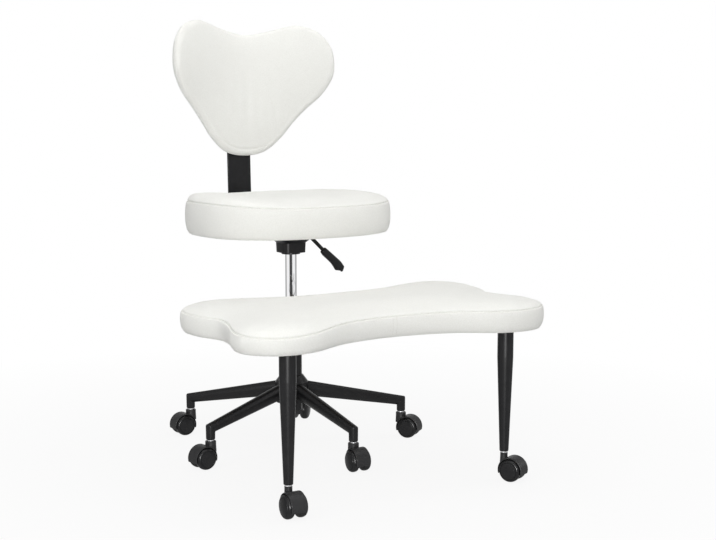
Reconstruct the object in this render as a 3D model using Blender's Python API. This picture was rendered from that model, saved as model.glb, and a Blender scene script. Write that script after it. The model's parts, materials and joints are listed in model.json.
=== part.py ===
"""Cross-legged office chair: a swivel seat with a heart-shaped back on a five-leg star base, and a
butterfly-shaped footstool that turns about the same column. Metres, +Z up, the footstool's front
towards -Y, the floor at Z = 0. Each frame below the column has its own empty, with -Y as its front."""

import math

import bmesh
import bpy
from mathutils import Matrix

for old in list(bpy.data.objects):
    bpy.data.objects.remove(old)

# Clearances
FIT = 0.0003
RUNNING_FIT = 0.0005

# Layout
COLUMN_Y = 0.1513
SEAT_TURN = math.radians(3.4)
STAR_TURN = math.radians(3.4)

# Casters: two wheels under one hood, turning on a plain stem
WHEEL_R = 0.025
WHEEL_W = 0.0175
WHEEL_SIDES = 16
WHEEL_EDGE = 0.0028
WHEEL_DISH = 0.0012
WHEEL_BORE_DEPTH = 0.012
AXLE_R = 0.003
CASTER_WEB = 0.012
CASTER_TRAIL = 0.022
HOOD_GAP = 0.0012
HOOD_WALL = 0.0023
HOOD_SETBACK = 0.004
HOOD_MOUTH = 0.017
NECK_RISE = 0.007
NECK_ROOT = 0.4
BASE_NECK_R = 0.0125
FOOTSTOOL_NECK_R = 0.0082
STEM_R = 0.0055
STEM_IN_NECK = 0.014
STEM_LENGTH = 0.022
FLANGE_R = 0.0078
FLANGE_T = 0.0024
BASE_HEADINGS = (-136.7, -51.7, -91.7, -169.7, -176.7)
FOOTSTOOL_HEADINGS = {"left": -89.7, "right": -61.7}

# Star base
STAR_LEGS = 5
STAR_R = 0.2776
STUB_R = 0.0105
STUB_LENGTH = 0.036
LEG_TIP_W = 0.021
LEG_TIP_H = 0.020
LEG_ROOT_W = 0.026
LEG_ROOT_H = 0.038
LEG_RISE = 0.054
HUB_R = 0.040
HUB_H = 0.049
HUB_CONE_H = 0.017
HUB_CONE_WALL = 0.0022
LEG_ROOT_IN_HUB = 0.2

# Column and gas lift
COLUMN_R = 0.025
COLUMN_WALL = 0.0025
COLUMN_FLOOR = 0.006
COLUMN_DROP = 0.020
COLUMN_LENGTH = 0.270
BUSH_LENGTH = 0.100
BUSH_LIP = 0.003
CYLINDER_R = 0.014
CYLINDER_IN_COLUMN = 0.160
CYLINDER_IN_MECHANISM = 0.033
ROD_R = 0.005
ROD_IN_CYLINDER = 0.190
SEAT_TRAVEL = 0.075
CYLINDER_SHOWS = 0.0325
PIN_R = 0.004
PIN_SHOWS = 0.0047
PIN_LENGTH = 0.0107
PIN_TRAVEL = 0.005

# Mechanism and lever
MECHANISM_H = 0.0537
COLLAR_R = 0.0225
COLLAR_H = 0.004
BOX_W = 0.055
BOX_H = 0.027
SKIRT_W = 0.065
SKIRT_TOP_W = 0.076
PLATE_W = 0.130
PLATE_D = 0.150
PLATE_T = 0.003
CAVITY_W = 0.044
CAVITY_FLOOR = 0.004
LEVER_R = 0.0045
LEVER_SLOT_PLAY = 0.0012
LEVER_PAST_PIN = 0.010
LEVER_BEND_X = 0.044
LEVER_BEND_DROP = 0.006
LEVER_ELBOW_RUN = 0.012
LEVER_REACH = 0.042
LEVER_DROP = 0.040
GRIP_LENGTH = 0.082
GRIP_SOCKET = 0.016
GRIP_T = 0.013
# Along the grip: (share of its length, height above the rod's line, height below it, share of GRIP_T)
GRIP_SECTIONS = ((0.0, 0.0076, 0.0082, 1.0), (0.12, 0.0085, 0.0100, 0.97), (0.30, 0.0096, 0.0094, 0.92),
                 (0.52, 0.0107, 0.0090, 0.88), (0.72, 0.0117, 0.0118, 0.84), (0.78, 0.0113, 0.0131, 0.80),
                 (0.93, 0.0095, 0.0060, 0.62), (1.0, 0.0006, 0.0050, 0.40))

# Seat
SEAT_HALF_W = 0.246
SEAT_HALF_D = 0.208
SEAT_SETBACK = 0.010
SEAT_WALL = 0.069
SEAT_CROWN = 0.017

# Backrest: a flat bar bent up behind the seat, and a heart-shaped pad that curves round the sitter
BAR_W = 0.064
BAR_T = 0.006
BAR_BEND_R = 0.014
BAR_GAP = 0.035
BAR_HEIGHT = 0.342
BACK_RECLINE = math.radians(1.75)
BACK_LIFT = 0.0855
BACK_CURVE_R = 0.365
BACK_GIRTH = 0.020
BACK_WALL = 0.036
BACK_CROWN = 0.014
BACK_DRAW = 0.038
BACK_SEAM_DRAW = 0.006
# Half outline at the girth as (across, up from the tip)
HEART = ((0.0, 0.0), (0.055, 0.0135), (0.0965, 0.046), (0.131, 0.0835), (0.1695, 0.123), (0.2065, 0.155),
         (0.2365, 0.201), (0.2435, 0.245), (0.2315, 0.284), (0.1955, 0.319), (0.143, 0.334),
         (0.0695, 0.319), (0.0, 0.303))
HEART_MIDDLE = 0.190

# Footstool: half outline as (across, forward of the column)
WINGS = ((0.0, 0.176), (0.113, 0.166), (0.206, 0.134), (0.283, 0.121), (0.340, 0.150), (0.373, 0.210),
         (0.368, 0.285), (0.345, 0.348), (0.354, 0.410), (0.371, 0.470), (0.362, 0.525), (0.311, 0.568),
         (0.227, 0.567), (0.125, 0.514), (0.0, 0.494))
WINGS_MIDDLE = 0.320
FOOTSTOOL_WALL = 0.0445
FOOTSTOOL_CROWN = 0.020
FOOTSTOOL_LEG_X = 0.266
FOOTSTOOL_LEG_AHEAD = 0.512
FOOTSTOOL_LEG_LENGTH = 0.2735
FOOTSTOOL_LEG_TOP_R = 0.0175
FOOTSTOOL_LEG_STRAIGHT = 0.060
FOOTSTOOL_LEG_TIP_R = 0.010
RING_WALL = 0.008
RING_H = 0.040
RING_BELOW_ARM = 0.010
STOP_RING_R = 0.031
STOP_RING_H = 0.006
ARM_W = 0.050
ARM_T = 0.008
ARM_STEP = 0.030
ARM_STEP_START = 0.090
ARM_STEP_END = 0.185
ARM_END = 0.405
ARM_BEND_R = 0.020

# Upholstery that all three pads share
BOARD_T = 0.012
BOARD_INSET = 0.014
BACK_BOARD_INSET = 0.008
PAD_EDGE = 0.005
PAD_WAIST = 0.003
FLAT_SHARES = (0.5, 1.0)
CURVED_SHARES = (0.3, 0.55, 0.8, 1.0)
CROWN_SHARES = (0.95, 0.84, 0.64, 0.34)
SOFT_CROWN = 5.0
FULL_CROWN = 12.0

# Squareness of rounded plans: 2 is a circle, and more is nearer to a rectangle
CIRCLE = 2.0
SEAT_SQUARENESS = 2.4
GRIP_SQUARENESS = 2.8
TUBE_SQUARENESS = 4.0
BOX_SQUARENESS = 5.0
PLATE_SQUARENESS = 9.0

# Facets
ROUND = 30
MID_ROUND = 20
SMALL_ROUND = 10
GRIP_ROUND = 14
BEND_STEPS = 5
ROD_BEND_STEPS = 3
SPLINE_STEPS = 24
SHARP_ANGLE = math.radians(32)
SEAT_POINTS = 52
HEART_POINTS = 52
WINGS_POINTS = 72

# Heights that follow from the sizes above
WHEEL_CORNER_R = WHEEL_R / math.cos(math.pi / WHEEL_SIDES)
POCKET_R = WHEEL_CORNER_R + HOOD_GAP
HOOD_R = POCKET_R + HOOD_WALL
NECK_TOP = WHEEL_R + HOOD_R + NECK_RISE
FLANGE_Z = NECK_TOP + FIT
STUB_Z = FLANGE_Z + FLANGE_T + FIT
SOCKET_TOP = STUB_Z + STEM_LENGTH + FIT
LEG_TIP_TOP = STUB_Z + STUB_LENGTH
HUB_TOP = LEG_TIP_TOP + LEG_RISE
HUB_Z = HUB_TOP - HUB_H
COLUMN_Z = HUB_Z - COLUMN_DROP
COLUMN_TOP = COLUMN_Z + COLUMN_LENGTH
BUSH_TOP = COLUMN_TOP + FIT + BUSH_LIP
MECHANISM_Z = BUSH_TOP + SEAT_TRAVEL + CYLINDER_SHOWS
MECHANISM_TOP = MECHANISM_Z + MECHANISM_H
CYLINDER_TOP = MECHANISM_Z + CYLINDER_IN_MECHANISM
PIN_TOP = CYLINDER_TOP + PIN_SHOWS
LEVER_Z = PIN_TOP + FIT + LEVER_R
SEAT_Z = MECHANISM_TOP + FIT
SEAT_TOP = SEAT_Z + SEAT_WALL + SEAT_CROWN
HEART_Z = SEAT_TOP + BACK_LIFT
FOOTSTOOL_Z = STUB_Z + FOOTSTOOL_LEG_LENGTH + FIT
ARM_LOW_TOP = FOOTSTOOL_Z - ARM_STEP
RING_Z = ARM_LOW_TOP - ARM_T - RING_BELOW_ARM
BAR_FRONT_Y = SEAT_SETBACK + SEAT_HALF_D + BAR_GAP


def finish(name, colour, roughness, metallic=0.0):
    """A Principled BSDF material."""
    material = bpy.data.materials.new(name)
    material.use_nodes = True
    shader = material.node_tree.nodes["Principled BSDF"]
    shader.inputs["Base Color"].default_value = (*colour, 1.0)
    shader.inputs["Roughness"].default_value = roughness
    shader.inputs["Metallic"].default_value = metallic
    return material


IVORY_FABRIC = finish("ivory_fabric", (0.86, 0.86, 0.82), 0.9)
BLACK_COAT = finish("black_powder_coat", (0.018, 0.018, 0.019), 0.42)
BLACK_PLASTIC = finish("black_plastic", (0.014, 0.014, 0.015), 0.35)
CHROME = finish("chrome", (0.80, 0.80, 0.81), 0.08, 1.0)
STEEL = finish("plain_steel", (0.55, 0.55, 0.56), 0.35, 1.0)
PLYWOOD = finish("plywood", (0.55, 0.40, 0.25), 0.75)
GREY_NYLON = finish("grey_nylon", (0.16, 0.16, 0.16), 0.5)


def frame(name, parent=None, location=(0.0, 0.0, 0.0), turn=0.0, lean=0.0):
    """An empty that carries the pieces of one frame."""
    empty = bpy.data.objects.new(name, None)
    bpy.context.scene.collection.objects.link(empty)
    empty.parent = parent
    empty.location = location
    empty.rotation_euler = (lean, 0.0, turn)
    return empty


def piece(name, mesh, material, parent, location=(0.0, 0.0, 0.0), turn=0.0):
    """One named piece of the chair."""
    mesh.materials.clear()
    mesh.materials.append(material)
    mesh.shade_smooth()
    mesh.set_sharp_from_angle(angle=SHARP_ANGLE)
    made = bpy.data.objects.new(name, mesh)
    bpy.context.scene.collection.objects.link(made)
    made.parent = parent
    made.location = location
    made.rotation_euler = (0.0, 0.0, turn)
    return made


def skin(rings, closed=False):
    """A closed mesh over rings of points. A ring of one point is a pole, and closed joins last to first.

    Each four-sided cell is split along the same diagonal, so curved neighbours keep their gap."""
    shape = bmesh.new()
    loops = [[shape.verts.new(point) for point in ring] for ring in rings]
    pairs = list(zip(loops, loops[1:]))
    if closed:
        pairs.append((loops[-1], loops[0]))
    for low, high in pairs:
        count = max(len(low), len(high))
        for i in range(count):
            j = (i + 1) % count
            near, far = low[i % len(low)], high[j % len(high)]
            for corners in ((near, low[j % len(low)], far), (near, far, high[i % len(high)])):
                if len(set(corners)) == len(corners):
                    shape.faces.new(corners)
    bmesh.ops.recalc_face_normals(shape, faces=shape.faces)
    mesh = bpy.data.meshes.new("skin")
    shape.to_mesh(mesh)
    shape.free()
    return mesh


def circle(radius, z, sides, phase=0.0):
    """Points round the Z axis, or one point where the radius is zero."""
    if radius == 0.0:
        return [(0.0, 0.0, z)]
    angles = [phase + 2.0 * math.pi * i / sides for i in range(sides)]
    return [(radius * math.cos(a), radius * math.sin(a), z) for a in angles]


def lathe(profile, sides=ROUND, closed=False, phase=0.0):
    """A profile of (radius, height) points turned about Z."""
    return skin([circle(radius, z, sides, phase) for radius, z in profile], closed)


def drum(radius, low, high, sides=SMALL_ROUND, phase=0.0):
    """A plain solid cylinder on Z."""
    return lathe(((0.0, low), (radius, low), (radius, high), (0.0, high)), sides, phase=phase)


def squircle(half_x, half_y, squareness, sides):
    """A superellipse in plan, from a circle (2) towards a rectangle."""
    power = 2.0 / squareness
    points = []
    for i in range(sides):
        angle = 2.0 * math.pi * i / sides
        across = math.copysign(abs(math.cos(angle)) ** power, math.cos(angle))
        along = math.copysign(abs(math.sin(angle)) ** power, math.sin(angle))
        points.append((half_x * across, half_y * along))
    return points


def box(low, high):
    """A rectangular block between two corners."""
    plan = ((low[0], low[1]), (high[0], low[1]), (high[0], high[1]), (low[0], high[1]))
    middle = ((low[0] + high[0]) / 2.0, (low[1] + high[1]) / 2.0)
    rings = [[(*middle, low[2])]]
    rings += [[(x, y, z) for x, y in plan] for z in (low[2], high[2])]
    return skin(rings + [[(*middle, high[2])]])


def moved(mesh, matrix):
    """The mesh itself, after a change of place."""
    mesh.transform(matrix)
    return mesh


def on_y(mesh):
    """The mesh with its Z axis laid along +Y."""
    return moved(mesh, Matrix.Rotation(-math.pi / 2.0, 4, "X"))


def carved(mesh, cuts=(), joins=()):
    """The mesh with other shapes joined to it and then cut from it."""
    steps = [("UNION", tool) for tool in joins] + [("DIFFERENCE", tool) for tool in cuts]
    helpers = [bpy.data.objects.new("carving", mesh)]
    for operation, tool in steps:
        helpers.append(bpy.data.objects.new("carving_tool", tool))
        modifier = helpers[0].modifiers.new(operation, "BOOLEAN")
        modifier.operation = operation
        modifier.solver = "EXACT"
        modifier.object = helpers[-1]
    for helper in helpers:
        bpy.context.scene.collection.objects.link(helper)
    graph = bpy.context.evaluated_depsgraph_get()
    result = bpy.data.meshes.new_from_object(helpers[0].evaluated_get(graph))
    for helper in helpers:
        bpy.data.objects.remove(helper)
    return result


def smooth_loop(half, count):
    """A closed curve through a half outline and its mirror image, as evenly spaced points."""
    whole = list(half) + [(-x, y) for x, y in reversed(half[1:-1])]
    fine = []
    for i, start in enumerate(whole):
        before, end, after = whole[i - 1], whole[(i + 1) % len(whole)], whole[(i + 2) % len(whole)]
        for step in range(SPLINE_STEPS):
            t = step / SPLINE_STEPS
            fine.append(tuple(
                0.5 * (2.0 * b + (c - a) * t + (2.0 * a - 5.0 * b + 4.0 * c - d) * t * t
                       + (3.0 * b - a - 3.0 * c + d) * t * t * t)
                for a, b, c, d in zip(before, start, end, after)))
    lengths = [0.0]
    for i, point in enumerate(fine):
        lengths.append(lengths[-1] + math.dist(point, fine[(i + 1) % len(fine)]))
    points = []
    k = 0
    for i in range(count):
        wanted = lengths[-1] * i / count
        while lengths[k + 1] <= wanted:
            k += 1
        share = (wanted - lengths[k]) / (lengths[k + 1] - lengths[k])
        near, far = fine[k], fine[(k + 1) % len(fine)]
        points.append(tuple(a + (b - a) * share for a, b in zip(near, far)))
    return points


def inset(outline, distance):
    """The outline drawn in by a distance, square to itself."""
    area = sum(a[0] * b[1] - b[0] * a[1] for a, b in zip(outline, outline[1:] + outline[:1]))
    side = math.copysign(1.0, area)
    points = []
    for i, (x, y) in enumerate(outline):
        before, after = outline[i - 1], outline[(i + 1) % len(outline)]
        run = (after[0] - before[0], after[1] - before[1])
        length = math.hypot(*run)
        points.append((x - side * distance * run[1] / length, y + side * distance * run[0] / length))
    return points


def towards(outline, middle, share):
    """The outline shrunk to a share of its size about a middle point."""
    return [tuple(m + (p - m) * share for m, p in zip(middle, point)) for point in outline]


def sheet(plan, middle, height, place, shares):
    """Rings of points over a plan at one height, from its middle out to its edge."""
    rings = [[place(*middle, height)]]
    return rings + [[place(x, y, height) for x, y in towards(plan, middle, share)] for share in shares]


def board(outline, middle, margin, place, shares=FLAT_SHARES):
    """The plywood inside a pad, with place turning (across, along, height) into a point."""
    plan = inset(outline, margin)
    return skin(sheet(plan, middle, BOARD_T, place, shares) + sheet(plan, middle, 0.0, place, shares)[::-1])


def pad(outline, middle, margin, sides, crown, place, fullness=FULL_CROWN, shares=FLAT_SHARES):
    """A cushion: a pocket for its board, a side wall of (draw, height) steps to the seam, and a crown."""
    pocket = inset(outline, margin - FIT)
    rings = sheet(pocket, middle, BOARD_T + FIT, place, shares)
    rings.append([place(x, y, 0.0) for x, y in pocket])
    rings += [[place(x, y, z) for x, y in inset(outline, draw)] for draw, z in sides]
    seam_draw, wall = sides[-1]
    top = inset(outline, seam_draw)
    for share in CROWN_SHARES:
        height = wall + crown * (1.0 - share ** fullness)
        rings.append([place(x, y, height) for x, y in towards(top, middle, share)])
    rings.append([place(*middle, wall + crown)])
    return skin(rings)


def boxed_sides(wall):
    """The side wall of a boxed cushion, drawn in a little at its middle."""
    return ((PAD_EDGE, 0.0), (PAD_EDGE / 4.0, PAD_EDGE), (PAD_WAIST, wall / 2.0), (0.0, wall - PAD_EDGE),
            (PAD_EDGE / 2.0, wall))


def rounded_path(corners, radius, steps=BEND_STEPS):
    """A path through corners in a plane, each inner corner rounded to a radius."""
    path = [corners[0]]
    for before, corner, after in zip(corners, corners[1:], corners[2:]):
        back = [(b - c) / math.dist(before, corner) for b, c in zip(before, corner)]
        ahead = [(a - c) / math.dist(after, corner) for a, c in zip(after, corner)]
        half = math.acos(max(-1.0, min(1.0, back[0] * ahead[0] + back[1] * ahead[1]))) / 2.0
        reach = radius / math.tan(half)
        middle = [c + (b + a) / math.hypot(back[0] + ahead[0], back[1] + ahead[1]) * radius / math.sin(half)
                  for c, b, a in zip(corner, back, ahead)]
        start = [c + b * reach - m for c, b, m in zip(corner, back, middle)]
        end = [c + a * reach - m for c, a, m in zip(corner, ahead, middle)]
        turn = math.atan2(start[0] * end[1] - start[1] * end[0], start[0] * end[0] + start[1] * end[1])
        for step in range(steps + 1):
            angle = turn * step / steps
            path.append((middle[0] + start[0] * math.cos(angle) - start[1] * math.sin(angle),
                         middle[1] + start[0] * math.sin(angle) + start[1] * math.cos(angle)))
    return path + [corners[-1]]


def normals_of(path):
    """Unit vectors square to a path in a plane, to its left."""
    found = []
    for i in range(len(path)):
        before, after = path[max(i - 1, 0)], path[min(i + 1, len(path) - 1)]
        length = math.dist(before, after)
        found.append(((before[1] - after[1]) / length, (after[0] - before[0]) / length))
    return found


def flat_bar(path, width, thickness):
    """A flat bar bent along a path of (y, z) points."""
    rings = []
    for (y, z), (across, up) in zip(path, normals_of(path)):
        half = thickness / 2.0
        edges = ((-1, -1), (1, -1), (1, 1), (-1, 1))
        rings.append([(side * width / 2.0, y + face * half * across, z + face * half * up)
                      for side, face in edges])
    first, last = (0.0, *path[0]), (0.0, *path[-1])
    return skin([[first], *rings, [last]])


def round_rod(path, radius, sides=SMALL_ROUND):
    """A round rod bent along a path of (x, z) points."""
    rings = []
    for (x, z), (across, up) in zip(path, normals_of(path)):
        ring = circle(radius, 0.0, sides)
        rings.append([(x + a * across, b, z + a * up) for a, b, _ in ring])
    first, last = (path[0][0], 0.0, path[0][1]), (path[-1][0], 0.0, path[-1][1])
    return skin([[first], *rings, [last]])


def stem_mesh():
    """A caster's steel stem: pressed into the leg above its flange, and turning in the hood's neck below."""
    low = NECK_TOP - STEM_IN_NECK
    top = STUB_Z + STEM_LENGTH
    flange_top = FLANGE_Z + FLANGE_T
    return lathe(((0.0, low), (STEM_R, low), (STEM_R, FLANGE_Z), (FLANGE_R, FLANGE_Z),
                  (FLANGE_R, flange_top), (STEM_R, flange_top), (STEM_R, top), (0.0, top)), SMALL_ROUND)


def hood_mesh(neck_r):
    """A caster's hood: a drum over both wheels, open below, with a web between them and a neck."""
    half = CASTER_WEB / 2.0 + RUNNING_FIT + WHEEL_W - HOOD_SETBACK
    web = CASTER_WEB / 2.0
    at_axle = Matrix.Translation((CASTER_TRAIL, 0.0, WHEEL_R))
    shell = moved(on_y(drum(HOOD_R, -half, half, MID_ROUND)), at_axle)
    neck = drum(neck_r, WHEEL_R + HOOD_R * NECK_ROOT, NECK_TOP, MID_ROUND)
    half_step = math.pi / MID_ROUND
    pockets = [moved(on_y(drum(POCKET_R, *ends, MID_ROUND, half_step)), at_axle)
               for ends in ((web, 2.0 * half), (-2.0 * half, -web))]
    below = box((-HOOD_R, -2.0 * half, -HOOD_R), (CASTER_TRAIL + 2.0 * HOOD_R, 2.0 * half, HOOD_MOUTH))
    stem_hole = drum(STEM_R + FIT, NECK_TOP - STEM_IN_NECK - FIT, NECK_TOP + NECK_RISE)
    axle_hole = moved(on_y(drum(AXLE_R + RUNNING_FIT, -CASTER_WEB, CASTER_WEB)), at_axle)
    return carved(shell, cuts=[*pockets, below, stem_hole, axle_hole], joins=[neck])


def axle_mesh():
    """A caster's axle, which ends inside both wheels."""
    reach = CASTER_WEB / 2.0 + RUNNING_FIT + WHEEL_BORE_DEPTH - FIT
    return on_y(drum(AXLE_R, -reach, reach))


def wheel_mesh():
    """A caster's wheel on +Y, with a flat of its tread down, a blind bore and a dished outer face."""
    across = math.cos(math.pi / WHEEL_SIDES)
    bore = AXLE_R + RUNNING_FIT
    profile = ((0.0, WHEEL_BORE_DEPTH), (bore, WHEEL_BORE_DEPTH), (bore, 0.0), (WHEEL_R, 0.0),
               (WHEEL_R, WHEEL_W - WHEEL_EDGE), (WHEEL_R - WHEEL_EDGE, WHEEL_W), (0.0, WHEEL_W - WHEEL_DISH))
    return on_y(lathe([(r / across, z) for r, z in profile], WHEEL_SIDES, phase=math.pi / WHEEL_SIDES))


STEM = stem_mesh()
AXLE = axle_mesh()
WHEEL = wheel_mesh()


def caster(name, hood, parent, x, y, heading):
    """One caster at its stem's place, trailing along its heading."""
    post = frame(name + "_post", parent, (x, y, 0.0), heading)
    piece(name + "_stem", STEM, STEEL, post)
    piece(name + "_hood", hood, BLACK_PLASTIC, post)
    piece(name + "_axle", AXLE, STEEL, post, (CASTER_TRAIL, 0.0, WHEEL_R))
    face = CASTER_WEB / 2.0 + RUNNING_FIT
    piece(name + "_wheel_left", WHEEL, BLACK_PLASTIC, post, (CASTER_TRAIL, face, WHEEL_R))
    piece(name + "_wheel_right", WHEEL, BLACK_PLASTIC, post, (CASTER_TRAIL, -face, WHEEL_R), math.pi)


def leg_mesh():
    """One star leg along +Y: a tapered tube from the hub that turns down into the caster's socket."""
    soft = squircle(1.0, 1.0, TUBE_SQUARENESS, MID_ROUND)
    tip = squircle(1.0, 1.0, CIRCLE, MID_ROUND)
    root_y = HUB_R * (1.0 - LEG_ROOT_IN_HUB)
    root_mid = HUB_TOP - LEG_ROOT_H / 2.0
    tip_mid = LEG_TIP_TOP - LEG_TIP_H / 2.0
    root = [(a * LEG_ROOT_W / 2.0, root_y, root_mid + b * LEG_ROOT_H / 2.0) for a, b in soft]
    mitre = [(a * LEG_TIP_W / 2.0, STAR_R + b * STUB_R, tip_mid + b * LEG_TIP_H / 2.0) for a, b in soft]
    foot = [(a * STUB_R, STAR_R + b * STUB_R, STUB_Z) for a, b in tip]
    body = skin([[(0.0, root_y, root_mid)], root, mitre, foot, [(0.0, STAR_R, STUB_Z)]])
    socket = moved(drum(STEM_R + FIT, STUB_Z - FLANGE_T, SOCKET_TOP), Matrix.Translation((0.0, STAR_R, 0.0)))
    hub = drum(HUB_R + FIT, HUB_Z - HUB_H, HUB_TOP + HUB_H, ROUND)
    return carved(body, cuts=[hub, socket])


def build_base(parent):
    """The star base, its casters, and the tube and bush that guide the gas lift."""
    bore = COLUMN_R + FIT
    neck = bore + HUB_CONE_WALL
    piece("base_hub", lathe(((bore, HUB_Z), (HUB_R, HUB_Z), (HUB_R, HUB_TOP), (neck, HUB_TOP + HUB_CONE_H),
                             (bore, HUB_TOP + HUB_CONE_H)), closed=True), BLACK_COAT, parent)
    leg, hood = leg_mesh(), hood_mesh(BASE_NECK_R)
    for i in range(STAR_LEGS):
        angle = math.pi / STAR_LEGS + 2.0 * math.pi * i / STAR_LEGS
        piece(f"base_leg_{i + 1}", leg, BLACK_COAT, parent, turn=-angle)
        heading = math.radians(BASE_HEADINGS[i]) - STAR_TURN
        x, y = STAR_R * math.sin(angle), STAR_R * math.cos(angle)
        caster(f"base_caster_{i + 1}", hood, parent, x, y, heading)
    inner = COLUMN_R - COLUMN_WALL
    floor = COLUMN_Z + COLUMN_FLOOR
    stop = RING_Z - FIT
    rod_hole = ROD_R + RUNNING_FIT
    piece("column_tube", lathe(((rod_hole, COLUMN_Z), (COLUMN_R, COLUMN_Z), (COLUMN_R, stop - STOP_RING_H),
                                (STOP_RING_R, stop - STOP_RING_H), (STOP_RING_R, stop), (COLUMN_R, stop),
                                (COLUMN_R, COLUMN_TOP), (inner, COLUMN_TOP), (inner, floor),
                                (rod_hole, floor)), closed=True), BLACK_COAT, parent)
    sleeve = inner - RUNNING_FIT
    slide = CYLINDER_R + RUNNING_FIT
    piece("guide_bush", lathe(((slide, COLUMN_TOP - BUSH_LENGTH), (sleeve, COLUMN_TOP - BUSH_LENGTH),
                               (sleeve, COLUMN_TOP + FIT), (COLUMN_R, COLUMN_TOP + FIT),
                               (COLUMN_R, BUSH_TOP), (slide, BUSH_TOP)), closed=True), GREY_NYLON, parent)


def build_lift(parent):
    """The gas lift: the rod that stands in the column, and the cylinder on it with its valve pin."""
    low = COLUMN_TOP - CYLINDER_IN_COLUMN
    bore = ROD_R + RUNNING_FIT
    rod_top = low + ROD_IN_CYLINDER
    piece("piston_rod", drum(ROD_R, COLUMN_Z, rod_top), STEEL, parent)
    well = PIN_R + FIT
    well_floor = CYLINDER_TOP + PIN_SHOWS - PIN_LENGTH - PIN_TRAVEL - FIT
    piece("gas_cylinder", lathe(((0.0, rod_top + SEAT_TRAVEL), (bore, rod_top + SEAT_TRAVEL), (bore, low),
                                 (CYLINDER_R, low), (CYLINDER_R, CYLINDER_TOP), (well, CYLINDER_TOP),
                                 (well, well_floor), (0.0, well_floor)), MID_ROUND), CHROME, parent)
    piece("release_pin", drum(PIN_R, PIN_TOP - PIN_LENGTH, PIN_TOP), STEEL, parent)


def build_mechanism(parent):
    """The pressed housing under the seat, and the lever that reaches through its wall to the valve pin."""
    def ring(width, depth, squareness, z):
        return [(x, y, z) for x, y in squircle(width / 2.0, depth / 2.0, squareness, MID_ROUND)]

    hole = 2.0 * (CYLINDER_R + FIT)
    box_z = MECHANISM_Z + COLLAR_H
    plate_z = MECHANISM_TOP - PLATE_T
    floor = box_z + CAVITY_FLOOR
    collar = 2.0 * COLLAR_R
    skirt_z = box_z + BOX_H
    rings = [ring(collar, collar, CIRCLE, MECHANISM_Z), ring(collar, collar, CIRCLE, box_z),
             ring(BOX_W, BOX_W, BOX_SQUARENESS, box_z), ring(BOX_W, BOX_W, BOX_SQUARENESS, skirt_z),
             ring(SKIRT_W, SKIRT_W, BOX_SQUARENESS, skirt_z),
             ring(SKIRT_TOP_W, SKIRT_TOP_W, BOX_SQUARENESS, plate_z),
             ring(PLATE_W, PLATE_D, PLATE_SQUARENESS, plate_z),
             ring(PLATE_W, PLATE_D, PLATE_SQUARENESS, MECHANISM_TOP),
             ring(CAVITY_W, CAVITY_W, BOX_SQUARENESS, MECHANISM_TOP),
             ring(CAVITY_W, CAVITY_W, BOX_SQUARENESS, floor),
             ring(hole, hole, CIRCLE, floor), ring(hole, hole, CIRCLE, MECHANISM_Z)]
    play = LEVER_R + LEVER_SLOT_PLAY
    slot = box((CAVITY_W / 4.0, -play, LEVER_Z - play), (SKIRT_TOP_W, play, LEVER_Z + play))
    piece("seat_mechanism", carved(skin(rings, closed=True), cuts=[slot]), BLACK_COAT, parent)
    build_lever(parent)


def build_lever(parent):
    """The lever's bent rod and its paddle grip. It pivots where it passes through the housing's wall."""
    pivot = frame("lever_pivot", parent, ((CAVITY_W + BOX_W) / 4.0 + LEVER_BEND_DROP, 0.0, LEVER_Z))
    x0 = pivot.location.x
    elbow = (LEVER_BEND_X + LEVER_ELBOW_RUN - x0, -LEVER_BEND_DROP)
    tip = (elbow[0] + LEVER_REACH, elbow[1] - LEVER_DROP)
    corners = ((-x0 - LEVER_PAST_PIN, 0.0), (LEVER_BEND_X - x0, 0.0), elbow, tip)
    path = rounded_path(corners, LEVER_ELBOW_RUN / 2.0, ROD_BEND_STEPS)
    piece("lever_rod", round_rod(path, LEVER_R), BLACK_COAT, pivot)
    run = math.dist(elbow, tip)
    ahead = ((tip[0] - elbow[0]) / run, (tip[1] - elbow[1]) / run)
    start = (tip[0] - ahead[0] * (GRIP_SOCKET - FIT), tip[1] - ahead[1] * (GRIP_SOCKET - FIT))
    half_t = GRIP_T / 2.0
    outline = squircle(1.0, 1.0, GRIP_SQUARENESS, GRIP_ROUND)
    rings = []
    for share, above, under, thick in GRIP_SECTIONS:
        x, z = (s + a * share * GRIP_LENGTH for s, a in zip(start, ahead))
        middle, half = (above - under) / 2.0, (above + under) / 2.0
        section = [(middle + half * a, half_t * thick * b) for a, b in outline]
        rings.append([(x - ahead[1] * up, out, z + ahead[0] * up) for up, out in section])
    ends = [[tuple(sum(axis) / len(ring) for axis in zip(*ring))] for ring in (rings[0], rings[-1])]
    mouth = (start[0] - ahead[0] * FLANGE_T, start[1] - ahead[1] * FLANGE_T)
    floor = (start[0] + ahead[0] * GRIP_SOCKET, start[1] + ahead[1] * GRIP_SOCKET)
    socket = round_rod((mouth, floor), LEVER_R + FIT)
    piece("lever_grip", carved(skin([ends[0], *rings, ends[1]]), cuts=[socket]), BLACK_PLASTIC, pivot)


def build_seat(parent):
    """The seat's board and its boxed cushion, an oval in plan."""
    plan = squircle(SEAT_HALF_W, SEAT_HALF_D, SEAT_SQUARENESS, SEAT_POINTS)

    def place(x, y, height):
        return (x, y + SEAT_SETBACK, SEAT_Z + height)

    middle = (0.0, 0.0)
    cushion = pad(plan, middle, BOARD_INSET, boxed_sides(SEAT_WALL), SEAT_CROWN, place)
    piece("seat_board", board(plan, middle, BOARD_INSET, place), PLYWOOD, parent)
    piece("seat_cushion", cushion, IVORY_FABRIC, parent)


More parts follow.
